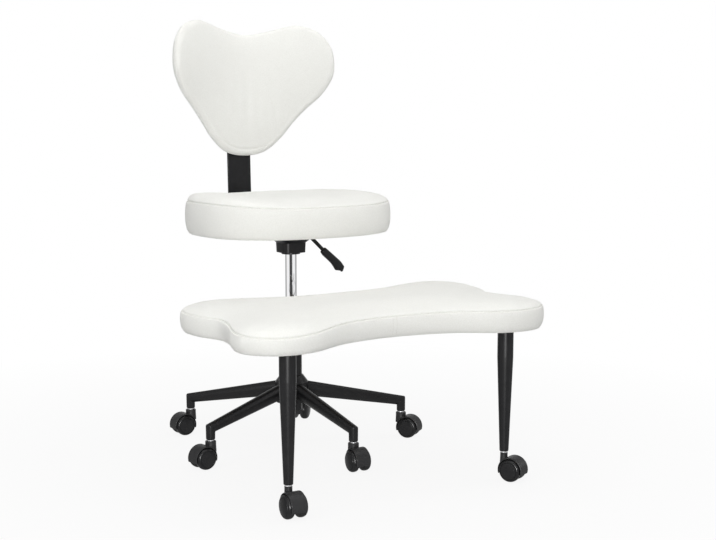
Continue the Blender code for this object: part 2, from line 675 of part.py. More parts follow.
def build_back(parent):
    """The bent bar from under the seat, and the heart-shaped back on it, curved forward at both sides."""
    foot_z = SEAT_Z - FIT - BAR_T / 2.0
    lean = frame("back_lean", parent, (0.0, BAR_FRONT_Y, foot_z), lean=-BACK_RECLINE)
    foot_front = PLATE_D / 2.0 + FIT
    middle_y = BAR_FRONT_Y + BAR_T / 2.0
    top = (middle_y + BAR_HEIGHT * math.sin(BACK_RECLINE), foot_z + BAR_HEIGHT * math.cos(BACK_RECLINE))
    path = rounded_path(((foot_front, foot_z), (middle_y, foot_z), top), BAR_BEND_R)
    piece("back_bar", flat_bar(path, BAR_W, BAR_T), BLACK_COAT, parent)
    plan = smooth_loop(HEART, HEART_POINTS)

    def place(across, up, depth):
        angle = across / BACK_CURVE_R
        rear = BACK_CURVE_R + BACK_GIRTH
        return ((rear - depth) * math.sin(angle), (rear - depth) * math.cos(angle) - rear - FIT,
                HEART_Z - foot_z + up)

    middle = (0.0, HEART_MIDDLE)
    margin = BACK_DRAW + BACK_BOARD_INSET
    sides = ((BACK_DRAW, 0.0), (BACK_DRAW / 1.8, BACK_GIRTH / 3.0), (0.0, BACK_GIRTH),
             (BACK_SEAM_DRAW / 3.0, (BACK_GIRTH + BACK_WALL) / 2.0), (BACK_SEAM_DRAW, BACK_WALL))
    cushion = pad(plan, middle, margin, sides, BACK_CROWN, place, SOFT_CROWN, CURVED_SHARES)
    piece("back_board", board(plan, middle, margin, place, CURVED_SHARES), PLYWOOD, lean)
    piece("back_cushion", cushion, IVORY_FABRIC, lean)


def build_footstool(parent):
    """The butterfly footstool: a ring on the column, an arm, a padded board and two wheeled legs."""
    bore = COLUMN_R + RUNNING_FIT
    ring_r = bore + RING_WALL
    piece("footstool_collar", lathe(((bore, RING_Z), (ring_r, RING_Z), (ring_r, RING_Z + RING_H),
                                     (bore, RING_Z + RING_H)), closed=True), BLACK_COAT, parent)
    low, high = ARM_LOW_TOP - ARM_T / 2.0, FOOTSTOOL_Z - FIT - ARM_T / 2.0
    corners = ((-COLUMN_R / 2.0, low), (-ARM_STEP_START, low), (-ARM_STEP_END, high), (-ARM_END, high))
    path = rounded_path(corners, ARM_BEND_R)
    mouth = drum(ring_r + FIT, RING_Z - RING_H, RING_Z + 2.0 * RING_H, ROUND)
    piece("footstool_arm", carved(flat_bar(path, ARM_W, ARM_T), cuts=[mouth]), BLACK_COAT, parent)
    plan = smooth_loop(WINGS, WINGS_POINTS)

    def place(x, ahead, height):
        return (x, -ahead, FOOTSTOOL_Z + height)

    middle = (0.0, WINGS_MIDDLE)
    cushion = pad(plan, middle, BOARD_INSET, boxed_sides(FOOTSTOOL_WALL), FOOTSTOOL_CROWN, place)
    piece("footstool_board", board(plan, middle, BOARD_INSET, place), PLYWOOD, parent)
    piece("footstool_cushion", cushion, IVORY_FABRIC, parent)
    top = STUB_Z + FOOTSTOOL_LEG_LENGTH
    socket = STEM_R + FIT
    leg = lathe(((0.0, SOCKET_TOP), (socket, SOCKET_TOP), (socket, STUB_Z), (FOOTSTOOL_LEG_TIP_R, STUB_Z),
                 (FOOTSTOOL_LEG_TOP_R, top - FOOTSTOOL_LEG_STRAIGHT), (FOOTSTOOL_LEG_TOP_R, top),
                 (0.0, top)), MID_ROUND)
    hood = hood_mesh(FOOTSTOOL_NECK_R)
    for side, sign in (("left", -1.0), ("right", 1.0)):
        x, y = sign * FOOTSTOOL_LEG_X, -FOOTSTOOL_LEG_AHEAD
        piece("footstool_leg_" + side, leg, BLACK_COAT, parent, (x, y, 0.0))
        caster("footstool_caster_" + side, hood, parent, x, y, math.radians(FOOTSTOOL_HEADINGS[side]))


CHAIR = frame("chair", location=(0.0, COLUMN_Y, 0.0))
SEAT_FRAME = frame("seat_frame", CHAIR, turn=SEAT_TURN)
build_base(frame("base_frame", CHAIR, turn=STAR_TURN))
build_lift(SEAT_FRAME)
build_mechanism(SEAT_FRAME)
build_seat(SEAT_FRAME)
build_back(SEAT_FRAME)
build_footstool(frame("footstool_frame", CHAIR))
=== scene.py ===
# %% [markdown]
# # A cross-legged office chair
# This lesson dresses the chair's measured solids for a picture. The solids come in as a frame that must not
# move, and each cell makes one kind of piece on top of it: three upholstered pads, the painted steel, the
# chrome lift, the lever and seven casters. Sizes are in metres, +Z is up, and the column stands at x = 0.

# %% Load the frame
import json
import math

import bmesh
import bpy
import numpy as np
from mathutils import Matrix, Vector
from mathutils.bvhtree import BVHTree
from mathutils.kdtree import KDTree

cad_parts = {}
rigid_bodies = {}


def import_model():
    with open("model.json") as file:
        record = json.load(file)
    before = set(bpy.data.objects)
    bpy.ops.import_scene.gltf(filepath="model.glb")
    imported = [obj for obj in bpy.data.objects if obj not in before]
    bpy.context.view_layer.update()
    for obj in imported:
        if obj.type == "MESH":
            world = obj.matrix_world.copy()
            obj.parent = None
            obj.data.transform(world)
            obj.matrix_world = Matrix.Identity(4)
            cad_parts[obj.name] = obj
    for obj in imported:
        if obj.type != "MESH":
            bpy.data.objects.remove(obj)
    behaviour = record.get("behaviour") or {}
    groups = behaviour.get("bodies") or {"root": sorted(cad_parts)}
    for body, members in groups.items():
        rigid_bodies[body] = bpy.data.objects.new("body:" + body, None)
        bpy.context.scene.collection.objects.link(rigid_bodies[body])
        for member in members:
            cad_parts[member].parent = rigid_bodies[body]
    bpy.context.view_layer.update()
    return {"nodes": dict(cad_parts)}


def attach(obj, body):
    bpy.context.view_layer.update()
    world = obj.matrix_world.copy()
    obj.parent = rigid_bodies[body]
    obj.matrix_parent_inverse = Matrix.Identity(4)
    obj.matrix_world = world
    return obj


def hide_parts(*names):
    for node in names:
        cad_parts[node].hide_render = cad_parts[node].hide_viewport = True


for startup in list(bpy.data.objects):
    bpy.data.objects.remove(startup)
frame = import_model()
scene = bpy.context.scene
scene.view_settings.view_transform = "Standard"

# %% [markdown]
# ## Camera, floor and light
# The camera stands where the photographer stood, to the left of the footstool's front and a little above
# the seat. The picture has a white sweep behind the chair and almost no shadow. So the world is white to
# the camera and in reflections, apart from a dark room behind the camera and two grey flags beside it,
# which give the chrome its dark stripe and its grey edges. The world lights the chair at a plain level.
# Lamps in front, above and at the sides give it form, and a strip beside the camera shows in gloss alone,
# as the soft line down each black leg. The floor keeps a faint shadow near the casters and fades to white
# further out.

# %% Camera
COLUMN_Y = 0.1513
camera = bpy.data.objects.new("photo_camera", bpy.data.cameras.new("photo_camera"))
scene.collection.objects.link(camera)
camera.data.sensor_width = 36.0
camera.data.lens = 67.79
camera.location = (-1.446, COLUMN_Y - 2.880, 0.837)
LOOKS_DOWN, TURNS_RIGHT = 7.277, 29.53
camera.rotation_euler = (math.radians(90.0 - LOOKS_DOWN), 0.0, math.radians(-TURNS_RIGHT))
scene.camera = camera
print("camera at", [round(v, 3) for v in camera.location])


# %% Node helper
def add(tree, kind, *links, **inputs):
    """A node whose sockets are set from values or linked from other nodes' outputs, by name or in order."""
    made = tree.nodes.new(kind)
    for key, value in inputs.items():
        name = key.replace("_", " ")
        if hasattr(made, key) and name not in made.inputs:
            setattr(made, key, value)
        elif isinstance(value, bpy.types.NodeSocket):
            tree.links.new(value, made.inputs[name])
        else:
            made.inputs[name].default_value = value
    for socket, value in zip(made.inputs, links):
        if isinstance(value, bpy.types.NodeSocket):
            tree.links.new(value, socket)
        else:
            socket.default_value = value
    return made


def maths(tree, operation, *values):
    """A Math node's result."""
    return add(tree, "ShaderNodeMath", *values, operation=operation).outputs[0]


# %% World
world = bpy.data.worlds.new("white_sweep")
scene.world = world
world.use_nodes = True
sky = world.node_tree
sky.nodes.clear()
rays = add(sky, "ShaderNodeLightPath")
straight = maths(sky, "MAXIMUM", rays.outputs["Is Camera Ray"], rays.outputs["Is Transmission Ray"])
seen = maths(sky, "MAXIMUM", straight, rays.outputs["Is Glossy Ray"])
to_camera = (camera.location - Vector((0.0, 0.0, 0.45))).normalized()
direction = add(sky, "ShaderNodeTexCoord").outputs["Generated"]
facing = add(sky, "ShaderNodeVectorMath", direction, to_camera, operation="DOT_PRODUCT")


def studio(low, high, at_low, at_high):
    """A brightness that passes from one level to another between two angles from the camera's side."""
    return add(sky, "ShaderNodeMapRange", Value=facing.outputs["Value"], From_Min=low, From_Max=high,
               To_Min=at_low, To_Max=at_high).outputs["Result"]


dark_room = studio(0.80, 0.92, 1.0, 0.06)
flags = maths(sky, "MAXIMUM", studio(-0.16, -0.02, 0.42, 1.0), studio(-0.90, -0.72, 1.0, 0.0))
mirrored = maths(sky, "MULTIPLY", dark_room, flags)
WHITE = (1.0, 1.0, 1.0, 1.0)
plain = add(sky, "ShaderNodeBackground", Color=WHITE, Strength=0.40)
white = add(sky, "ShaderNodeBackground", Color=WHITE, Strength=maths(sky, "MAXIMUM", mirrored, straight))
mixed = add(sky, "ShaderNodeMixShader", seen, plain.outputs[0], white.outputs[0])
add(sky, "ShaderNodeOutputWorld", mixed.outputs[0])


# %% Lamps
def softbox(name, place, aim_z, width, height, watts):
    """A large lamp that points at a height over the origin, and doesn't show in the picture itself."""
    lamp = bpy.data.lights.new(name, "AREA")
    lamp.shape = "RECTANGLE"
    lamp.size = width
    lamp.size_y = height
    lamp.energy = watts
    made = bpy.data.objects.new(name, lamp)
    scene.collection.objects.link(made)
    made.location = place
    made.rotation_euler = (Vector((0.0, 0.0, aim_z)) - Vector(place)).to_track_quat("-Z", "Y").to_euler()
    made.visible_camera = False
    return made


softbox("front_high", (-1.25, -2.30, 1.90), aim_z=0.55, width=0.8, height=0.8, watts=20.0)
softbox("front_low", (-1.72, -3.15, 0.62), aim_z=0.45, width=0.4, height=0.8, watts=26.0)
gloss = softbox("gloss_strip", (-1.72, -3.15, 0.60), aim_z=0.45, width=0.3, height=0.8, watts=150.0)
gloss.visible_diffuse = False
softbox("top_sheet", (0.1, -0.2, 3.1), aim_z=0.4, width=2.4, height=2.4, watts=37.0)
softbox("right_strip", (2.5, -0.6, 1.3), aim_z=0.4, width=0.5, height=1.6, watts=8.5)
softbox("left_strip", (-2.6, -0.5, 1.3), aim_z=0.4, width=0.5, height=1.6, watts=8.5)
print("lamps:", ", ".join(lamp.name for lamp in bpy.data.lights))

# %% Floor
sweep = bpy.data.materials.new("white_floor")
sweep.use_nodes = True
ground = sweep.node_tree
ground.nodes.clear()
spot = add(ground, "ShaderNodeTexCoord").outputs["Object"]
reach = add(ground, "ShaderNodeVectorMath", spot, operation="LENGTH").outputs["Value"]
fade = add(ground, "ShaderNodeMapRange", Value=reach, From_Min=0.5, From_Max=1.5, To_Min=0.90, To_Max=1.0)
rays = add(ground, "ShaderNodeLightPath")
seen = maths(ground, "MAXIMUM", rays.outputs["Is Camera Ray"], rays.outputs["Is Transmission Ray"])
seen = maths(ground, "MAXIMUM", seen, rays.outputs["Is Glossy Ray"])
share = maths(ground, "MULTIPLY", fade.outputs["Result"], seen)
matt = add(ground, "ShaderNodeBsdfDiffuse", Color=(0.64, 0.64, 0.64, 1.0))
glow = add(ground, "ShaderNodeEmission", Color=WHITE, Strength=1.0)
blend = add(ground, "ShaderNodeMixShader", share, matt.outputs[0], glow.outputs[0])
add(ground, "ShaderNodeOutputMaterial", blend.outputs[0])
FAR = 30.0
floor_mesh = bpy.data.meshes.new("floor")
floor_corners = [(-FAR, -FAR, 0.0), (FAR, -FAR, 0.0), (FAR, FAR, 0.0), (-FAR, FAR, 0.0)]
floor_mesh.from_pydata(floor_corners, [], [(0, 1, 2, 3)])
floor_mesh.materials.append(sweep)
floor = bpy.data.objects.new("floor", floor_mesh)
scene.collection.objects.link(floor)
floor.visible_glossy = False
print("floor:", 2.0 * FAR, "m wide")

# %% [markdown]
# ## Finishes
# Each finish starts from one Principled shader. What is the same all over is set on the shader's own
# socket, and only what changes over the surface comes from nodes: the weave's threads, the orange-peel of
# powder coat, the grain of moulded plastic and the layers of plywood. Metal and plastic read Object
# coordinates, and the cloth reads a UV map in metres, so that its threads follow each panel.


# %% Material helpers
def finish(name, colour, roughness, metallic=0.0, **more):
    """A Principled material, its tree and its shader."""
    material = bpy.data.materials.new(name)
    material.use_nodes = True
    shader = material.node_tree.nodes["Principled BSDF"]
    shader.inputs["Base Color"].default_value = (*colour, 1.0)
    shader.inputs["Roughness"].default_value = roughness
    shader.inputs["Metallic"].default_value = metallic
    for key, value in more.items():
        shader.inputs[key.replace("_", " ")].default_value = value
    return material, material.node_tree, shader


def speckle(tree, scale, detail=2.0, stretch=(1.0, 1.0, 1.0), source="Object"):
    """A noise value on the surface, with scale in repeats to the metre."""
    where = add(tree, "ShaderNodeTexCoord").outputs[source]
    if stretch != (1.0, 1.0, 1.0):
        where = add(tree, "ShaderNodeMapping", Vector=where, Scale=stretch).outputs[0]
    return add(tree, "ShaderNodeTexNoise", Vector=where, Scale=scale, Detail=detail).outputs[0]


def tint(tree, shader, value, low, high):
    """Colour that runs between two tones as a value goes from 0.3 to 0.7."""
    ramp = add(tree, "ShaderNodeValToRGB", value)
    ramp.color_ramp.elements[0].position = 0.3
    ramp.color_ramp.elements[1].position = 0.7
    ramp.color_ramp.elements[0].color = (*low, 1.0)
    ramp.color_ramp.elements[1].color = (*high, 1.0)
    tree.links.new(ramp.outputs[0], shader.inputs["Base Color"])


def relief(tree, shader, height, strength, distance):
    """Bump from a height value."""
    bump = add(tree, "ShaderNodeBump", Height=height, Strength=strength, Distance=distance)
    tree.links.new(bump.outputs[0], shader.inputs["Normal"])


def haze(tree, shader, value, low, high):
    """Roughness that runs between two levels with a value."""
    spread = add(tree, "ShaderNodeMapRange", Value=value, To_Min=low, To_Max=high)
    tree.links.new(spread.outputs["Result"], shader.inputs["Roughness"])


# %% Ivory cloth
THREAD_PITCH = 0.0016
ivory_cloth, tree, shader = finish("ivory_cloth", (0.86, 0.86, 0.82), 0.92, Sheen_Weight=0.25,
                                   Sheen_Roughness=0.5)
panel = add(tree, "ShaderNodeUVMap", uv_map="cloth").outputs[0]
along, across, _ = add(tree, "ShaderNodeSeparateXYZ", panel).outputs
turns = 2.0 * math.pi / THREAD_PITCH
warp = maths(tree, "SINE", maths(tree, "MULTIPLY", along, turns))
weft = maths(tree, "SINE", maths(tree, "MULTIPLY", across, turns))
weave = maths(tree, "MULTIPLY", warp, weft)
slub = speckle(tree, 420.0, 3.0)
cloud = speckle(tree, 26.0, 2.0)
fuzz = maths(tree, "ADD", maths(tree, "MULTIPLY", weave, 0.5), maths(tree, "MULTIPLY", slub, 1.6))
relief(tree, shader, fuzz, 0.50, 0.0008)
mottle = maths(tree, "ADD", maths(tree, "MULTIPLY", slub, 0.85), maths(tree, "MULTIPLY", cloud, 0.15))
tint(tree, shader, mottle, (0.825, 0.825, 0.785), (0.890, 0.890, 0.855))

# The thread is ivory, but its colour is set darker than the cloth's: painted shade, standing in for the shade in
# the seam's groove.
ivory_thread_painted_shade, tree, shader = finish("ivory_thread_painted_shade", (0.66, 0.65, 0.60), 0.7)
relief(tree, shader, speckle(tree, 2600.0), 0.4, 0.0002)
print("threads in a centimetre:", round(0.01 / THREAD_PITCH, 1))

# %% Painted steel, plastic, chrome and the rest
powder_coat, tree, shader = finish("black_powder_coat", (0.007, 0.007, 0.008), 0.33,
                                   Specular_IOR_Level=0.22)
relief(tree, shader, speckle(tree, 1100.0), 0.12, 0.0004)
tint(tree, shader, speckle(tree, 60.0), (0.005, 0.005, 0.006), (0.009, 0.009, 0.010))
haze(tree, shader, speckle(tree, 35.0), 0.29, 0.38)

moulded_black, tree, shader = finish("black_moulded_plastic", (0.008, 0.008, 0.009), 0.28,
                                     Specular_IOR_Level=0.22)
relief(tree, shader, speckle(tree, 1900.0), 0.10, 0.0003)
tint(tree, shader, speckle(tree, 90.0), (0.006, 0.006, 0.007), (0.010, 0.010, 0.011))
haze(tree, shader, speckle(tree, 50.0), 0.24, 0.38)

hood_black, tree, shader = finish("black_hood_plastic", (0.020, 0.020, 0.021), 0.42,
                                  Specular_IOR_Level=0.25)
relief(tree, shader, speckle(tree, 1500.0), 0.14, 0.0003)
tint(tree, shader, speckle(tree, 90.0), (0.017, 0.017, 0.018), (0.023, 0.023, 0.024))

chrome, tree, shader = finish("polished_chrome", (0.86, 0.86, 0.87), 0.03, 1.0)
relief(tree, shader, speckle(tree, 140.0, 1.0, (1.0, 1.0, 0.15)), 0.02, 0.0004)

bright_steel, tree, shader = finish("turned_steel", (0.62, 0.62, 0.63), 0.28, 1.0)
relief(tree, shader, speckle(tree, 500.0, 2.0, (1.0, 1.0, 8.0)), 0.10, 0.0002)

grey_nylon, tree, shader = finish("grey_guide_nylon", (0.15, 0.15, 0.155), 0.45)
relief(tree, shader, speckle(tree, 1500.0), 0.10, 0.0003)

plywood, tree, shader = finish("birch_plywood", (0.60, 0.45, 0.28), 0.62)
grain = speckle(tree, 9.0, 6.0, (1.0, 14.0, 14.0))
tint(tree, shader, grain, (0.50, 0.35, 0.20), (0.66, 0.50, 0.33))
relief(tree, shader, grain, 0.15, 0.0005)

# %% [markdown]
# ## A small kit for shapes
# Almost every hard piece here is either turned on a lathe or skinned over a row of rings, so two helpers
# make both. A bevel then breaks the sharp edges, because real metal and plastic always have a small radius
# that catches the light.


# %% Rings and the lathe
def skin(rings, closed=False):
    """A mesh over rings of points. A ring of one point is a pole, and closed joins the last to the first."""
    shape = bmesh.new()
    loops = [[shape.verts.new(point) for point in ring] for ring in rings]
    pairs = list(zip(loops, loops[1:]))
    if closed:
        pairs.append((loops[-1], loops[0]))
    for low, high in pairs:
        count = max(len(low), len(high))
        for i in range(count):
            j = (i + 1) % count
            corners = [low[i % len(low)], low[j % len(low)], high[j % len(high)], high[i % len(high)]]
            shape.faces.new(dict.fromkeys(corners))
    bmesh.ops.recalc_face_normals(shape, faces=shape.faces)
    mesh = bpy.data.meshes.new("skin")
    shape.to_mesh(mesh)
    shape.free()
    return mesh


def circle(radius, z, sides):
    """Points round Z, or a pole where the radius is zero."""
    if radius == 0.0:
        return [(0.0, 0.0, z)]
    angles = np.arange(sides) * 2.0 * math.pi / sides
    return [(radius * math.cos(a), radius * math.sin(a), z) for a in angles]


def lathe(profile, sides=64, closed=False):
    """A profile of (radius, height) points turned about Z."""
    return skin([circle(radius, z, sides) for radius, z in profile], closed)


def squircle(half_x, half_y, squareness, sides=64):
    """A superellipse: 2 is a circle, and more is nearer to a rectangle."""
    angles = np.arange(sides) * 2.0 * math.pi / sides
    x, y = np.cos(angles), np.sin(angles)
    power = 2.0 / squareness
    return np.stack([half * np.sign(v) * np.abs(v) ** power for half, v in ((half_x, x), (half_y, y))], 1)


# %% Modifiers as tools
def moved(mesh, matrix):
    """The mesh itself, after a change of place."""
    mesh.transform(matrix)
    return mesh


def worked(mesh, *steps):
    """The mesh after some modifiers, each given as its type and its settings."""
    bench = bpy.data.objects.new("bench", mesh)
    scene.collection.objects.link(bench)
    for kind, settings in steps:
        modifier = bench.modifiers.new(kind, kind)
        for key, value in settings.items():
            setattr(modifier, key, value)
    graph = bpy.context.evaluated_depsgraph_get()
    result = bpy.data.meshes.new_from_object(bench.evaluated_get(graph), depsgraph=graph)
    bpy.data.objects.remove(bench)
    return result


def eased(mesh, width, segments=3, angle=35.0):
    """The mesh with its sharp edges rounded."""
    return worked(mesh, ("BEVEL", dict(width=width, segments=segments, limit_method="ANGLE",
                                       angle_limit=math.radians(angle))))


def carved(mesh, cuts=(), joins=()):
    """The mesh with other shapes joined to it and then cut from it."""
    tools = []
    steps = []
    for operation, shape in [("UNION", s) for s in joins] + [("DIFFERENCE", s) for s in cuts]:
        tools.append(bpy.data.objects.new("tool", shape))
        scene.collection.objects.link(tools[-1])
        steps.append(("BOOLEAN", dict(operation=operation, object=tools[-1], solver="EXACT")))
    result = worked(mesh, *steps)
    for tool in tools:
        bpy.data.objects.remove(tool)
    return result


# %% Finished pieces
def piece(name, mesh, material, body, *nodes, sharp=38.0):
    """A finished piece: it takes its finish, moves with its body and hides the solids that it replaces."""
    mesh.materials.clear()
    mesh.materials.append(material)
    mesh.shade_smooth()
    mesh.set_sharp_from_angle(angle=math.radians(sharp))
    if sharp < 60.0:
        mesh = worked(mesh, ("WEIGHTED_NORMAL", dict(keep_sharp=True)))
    made = bpy.data.objects.new(name, mesh)
    scene.collection.objects.link(made)
    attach(made, body)
    if nodes:
        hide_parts(*nodes)
    return made


def refinish(node, material):
    """A solid that shows as it is, in one of these finishes."""
    materials = frame["nodes"][node].data.materials
    materials.clear()
    materials.append(material)


# %% [markdown]
# ## The pads' outlines
# All three pads are cut from a flat pattern: an oval seat, a heart and a butterfly. The heart and the
# butterfly are smooth closed curves through a few points of one half and their mirror image, just as a
# pattern maker draws one half on folded paper. A place function then lays a pattern point, and a height
# above the board, into the chair.

# %% Sizes and outlines
FIT = 0.0003
SEAT_TURN = math.radians(3.4)
SEAT_Z = 0.51979
SEAT_SETBACK = 0.010
FOOTSTOOL_Z = 0.33779
BAR_FRONT_Y = 0.253
BAR_FOOT_Z = SEAT_Z - FIT - 0.003
RECLINE = math.radians(1.75)
HEART_Z = 0.69129
BACK_CURVE_R, BACK_GIRTH = 0.365, 0.020
HEART = ((0.0, 0.0012), (0.055, 0.0107), (0.0988, 0.0442), (0.1315, 0.0834), (0.1689, 0.1226), (0.2055, 0.1555),
         (0.2358, 0.2019), (0.2396, 0.2442), (0.2289, 0.2832), (0.1970, 0.3179), (0.1390, 0.3348),
         (0.0696, 0.3186), (0.0, 0.3057))
HEART_MIDDLE, HEART_ROLL, HEART_SHIFT, HEART_DROP = 0.190, math.radians(1.4), 0.0065, 0.0028
WINGS = ((0.0, 0.176), (0.113, 0.166), (0.206, 0.134), (0.283, 0.121), (0.340, 0.150), (0.373, 0.210),
         (0.368, 0.285), (0.345, 0.348), (0.354, 0.410), (0.371, 0.470), (0.362, 0.525), (0.311, 0.568),
         (0.227, 0.567), (0.125, 0.514), (0.0, 0.494))
COLUMN = Matrix.Translation((0.0, COLUMN_Y, 0.0))
SEAT_FRAME = COLUMN @ Matrix.Rotation(SEAT_TURN, 4, "Z")
AT_BAR_FOOT = Matrix.Translation((0.0, BAR_FRONT_Y, BAR_FOOT_Z))
LEAN_FRAME = SEAT_FRAME @ AT_BAR_FOOT @ Matrix.Rotation(-RECLINE, 4, "X")


# %% Pattern curves
def pattern(half, count):
    """A closed curve through half an outline and its mirror image, as evenly spaced points."""
    whole = np.array(list(half) + [(-x, y) for x, y in reversed(half[1:-1])])
    a, b, c, d = (np.roll(whole, shift, 0)[:, None, :] for shift in (1, 0, -1, -2))
    t = np.linspace(0.0, 1.0, 24, endpoint=False)[None, :, None]
    bend, twist = 2 * a - 5 * b + 4 * c - d, 3 * b - a - 3 * c + d
    fine = 0.5 * (2 * b + (c - a) * t + bend * t ** 2 + twist * t ** 3)
    loop = spaced(fine.reshape(-1, 2), count)
    for _ in range(16):
        loop = (np.roll(loop, 1, 0) + 2.0 * loop + np.roll(loop, -1, 0)) / 4.0
    return loop


def spaced(loop, count):
    """A closed loop of points, evenly spaced along its length."""
    shut = np.concatenate([loop, loop[:1]])
    lengths = np.concatenate([[0.0], np.cumsum(np.linalg.norm(np.diff(shut, axis=0), axis=1))])
    wanted = np.linspace(0.0, lengths[-1], count, endpoint=False)
    return np.stack([np.interp(wanted, lengths, shut[:, k]) for k in range(shut.shape[1])], 1)


def inset(loop, distance):
    """A loop drawn in by a distance, square to itself."""
    run = np.roll(loop, -1, 0) - np.roll(loop, 1, 0)
    run /= np.linalg.norm(run, axis=1)[:, None]
    ahead = np.roll(loop, -1, 0)
    side = np.sign(np.sum(loop[:, 0] * ahead[:, 1] - ahead[:, 0] * loop[:, 1]))
    return loop + side * distance * np.stack([-run[:, 1], run[:, 0]], 1)


# %% Places on the chair
def on_seat(x, y, height):
    """A pattern point of the seat, y towards the back."""
    return SEAT_FRAME @ Vector((x, y + SEAT_SETBACK, SEAT_Z + height))


def on_footstool(x, ahead, height):
    """A pattern point of the footstool, ahead of the column."""
    return COLUMN @ Vector((x, -ahead, FOOTSTOOL_Z + height))


def on_back(across, up, depth):
    """A pattern point of the back, which wraps round the sitter. The cover was pulled on a little turned."""
    rear = BACK_CURVE_R + BACK_GIRTH
    swing = up - HEART_MIDDLE
    angle = (across * math.cos(HEART_ROLL) + swing * math.sin(HEART_ROLL) + HEART_SHIFT) / BACK_CURVE_R
    rise = HEART_MIDDLE + swing * math.cos(HEART_ROLL) - across * math.sin(HEART_ROLL) - HEART_DROP
    return LEAN_FRAME @ Vector(((rear - depth) * math.sin(angle), (rear - depth) * math.cos(angle) - rear - FIT,
                                HEART_Z - BAR_FOOT_Z + rise))


# %% The three patterns
seat_pattern = spaced(squircle(0.246, 0.208, 2.4, 1440), 480)
heart_pattern = pattern(HEART, 480)
wings_pattern = pattern(WINGS, 640)
print("pattern lengths:", [round(float(np.sum(np.linalg.norm(np.diff(p, axis=0), axis=1))), 3)
                           for p in (seat_pattern, heart_pattern, wings_pattern)])

# %% [markdown]
# ## Sewing and filling a pad
# A real pad is a foam block in a sewn cover, so the cover should look tight over something springy. Each
# cover is skinned over rings that follow its pattern: up the side, through the seam and over the shoulder
# to the middle. A blank of the same form, a little too small, is remeshed into even quads and blown up with
# Blender's Cloth and its pressure while its underside and its seam are held. That gives what is hard to
# draw: the way that the top rises from the seam and the side bellies out. No point may travel further than
# a cap. The cover's own points then follow the travel of the cloth around them, so the cover keeps its
# clean rings, and its seam is pressed in last.


# %% Rings of a pad
def finer(rows):
    """Rows of values with a new row between each two, on a smooth curve."""
    rows = np.array(rows, float)
    longer = np.concatenate([2.0 * rows[:1] - rows[1:2], rows, 2.0 * rows[-1:] - rows[-2:-1]])
    result = np.empty((2 * len(rows) - 1, rows.shape[1]))
    result[0::2] = rows
    result[1::2] = (9.0 * (longer[1:-2] + longer[2:-1]) - longer[:-3] - longer[3:]) / 16.0
    return result


def pad_rings(loop, middle, profile, dome):
    """Pattern points with a height: drawn in by a profile, then gathered towards the middle."""
    rings = [(inset(loop, draw), height) for draw, height in finer(profile)]
    edge = rings[-1][0]
    rings += [(middle + (edge - middle) * share, height) for share, height in finer(dome)]
    return rings + [(middle[None, :], dome[-1][1])]


def floor_rings(loop, middle, height):
    """A flat underside from its middle out to a loop."""
    rings = [(middle + (loop - middle) * share, height) for share in (0.3, 0.6, 0.85)]
    return [(middle[None, :], height)] + rings


def pocket_rings(loop, middle, draw):
    """A board's pocket, from the middle of its ceiling to its lower edge."""
    edge = inset(loop, draw - FIT)
    return floor_rings(edge, middle, BOARD_T + FIT) + [(edge, BOARD_T + FIT), (edge, 0.0)]


def laid(rings, place):
    """A mesh over rings of pattern points."""
    return skin([[place(x, y, height) for x, y in plan] for plan, height in rings])


# %% Points of a mesh
def points_of(mesh):
    """The mesh's points as an array."""
    found = np.empty(len(mesh.vertices) * 3, np.float32)
    mesh.vertices.foreach_get("co", found)
    return found.reshape(-1, 3).astype(float)


def tree_of(points):
    """A search tree over points."""
    tree = KDTree(len(points))
    for i, point in enumerate(points):
        tree.insert(point, i)
    tree.balance()
    return tree


def gap_to(row, points):
    """Each point's distance to a dense row of points."""
    tree = tree_of(row)
    return np.array([tree.find(point)[2] for point in points])


# %% Filling
def filled(blank, voxel, cap, held):
    """Where the remeshed blank's points start, and how far the cloth carries them, up to a cap."""
    mesh = worked(blank, ("REMESH", dict(mode="VOXEL", voxel_size=voxel)),
                  ("SMOOTH", dict(factor=0.5, iterations=4)))
    start = points_of(mesh)
    cover = bpy.data.objects.new("cover", mesh)
    scene.collection.objects.link(cover)
    group = cover.vertex_groups.new(name="held")
    group.add([int(i) for i in np.flatnonzero(held(start))], 1.0, "REPLACE")
    cloth = cover.modifiers.new("cover", "CLOTH")
    cloth.settings.vertex_group_mass = "held"
    cloth.settings.quality = 4
    cloth.settings.mass = 0.3
    cloth.settings.tension_stiffness = 12.0
    cloth.settings.compression_stiffness = 12.0
    cloth.settings.bending_stiffness = 1.5
    cloth.settings.use_pressure = True
    cloth.settings.uniform_pressure_force = 4.0
    cloth.settings.effector_weights.gravity = 0.0
    for moment in range(1, 21):
        scene.frame_set(moment)
    graph = bpy.context.evaluated_depsgraph_get()
    travel = points_of(cover.evaluated_get(graph).data) - start
    bpy.data.objects.remove(cover)
    scene.frame_set(1)
    length = np.maximum(np.linalg.norm(travel, axis=1), 1e-9)[:, None]
    print("cloth travelled up to", round(float(length.max()) * 1000.0, 1), "mm, capped at", cap * 1000.0)
    return start, travel * np.minimum(1.0, cap / length)


def following(points, start, travel, reach=0.007):
    """How far each point goes with the cloth around it."""
    tree = tree_of(start)
    moves = np.zeros_like(points)
    for k, point in enumerate(points):
        hits = tree.find_n(point, 12)
        weights = np.exp(-(np.array([hit[2] for hit in hits]) / reach) ** 2) + 1e-12
        moves[k] = weights @ travel[[hit[1] for hit in hits]] / weights.sum()
    return moves


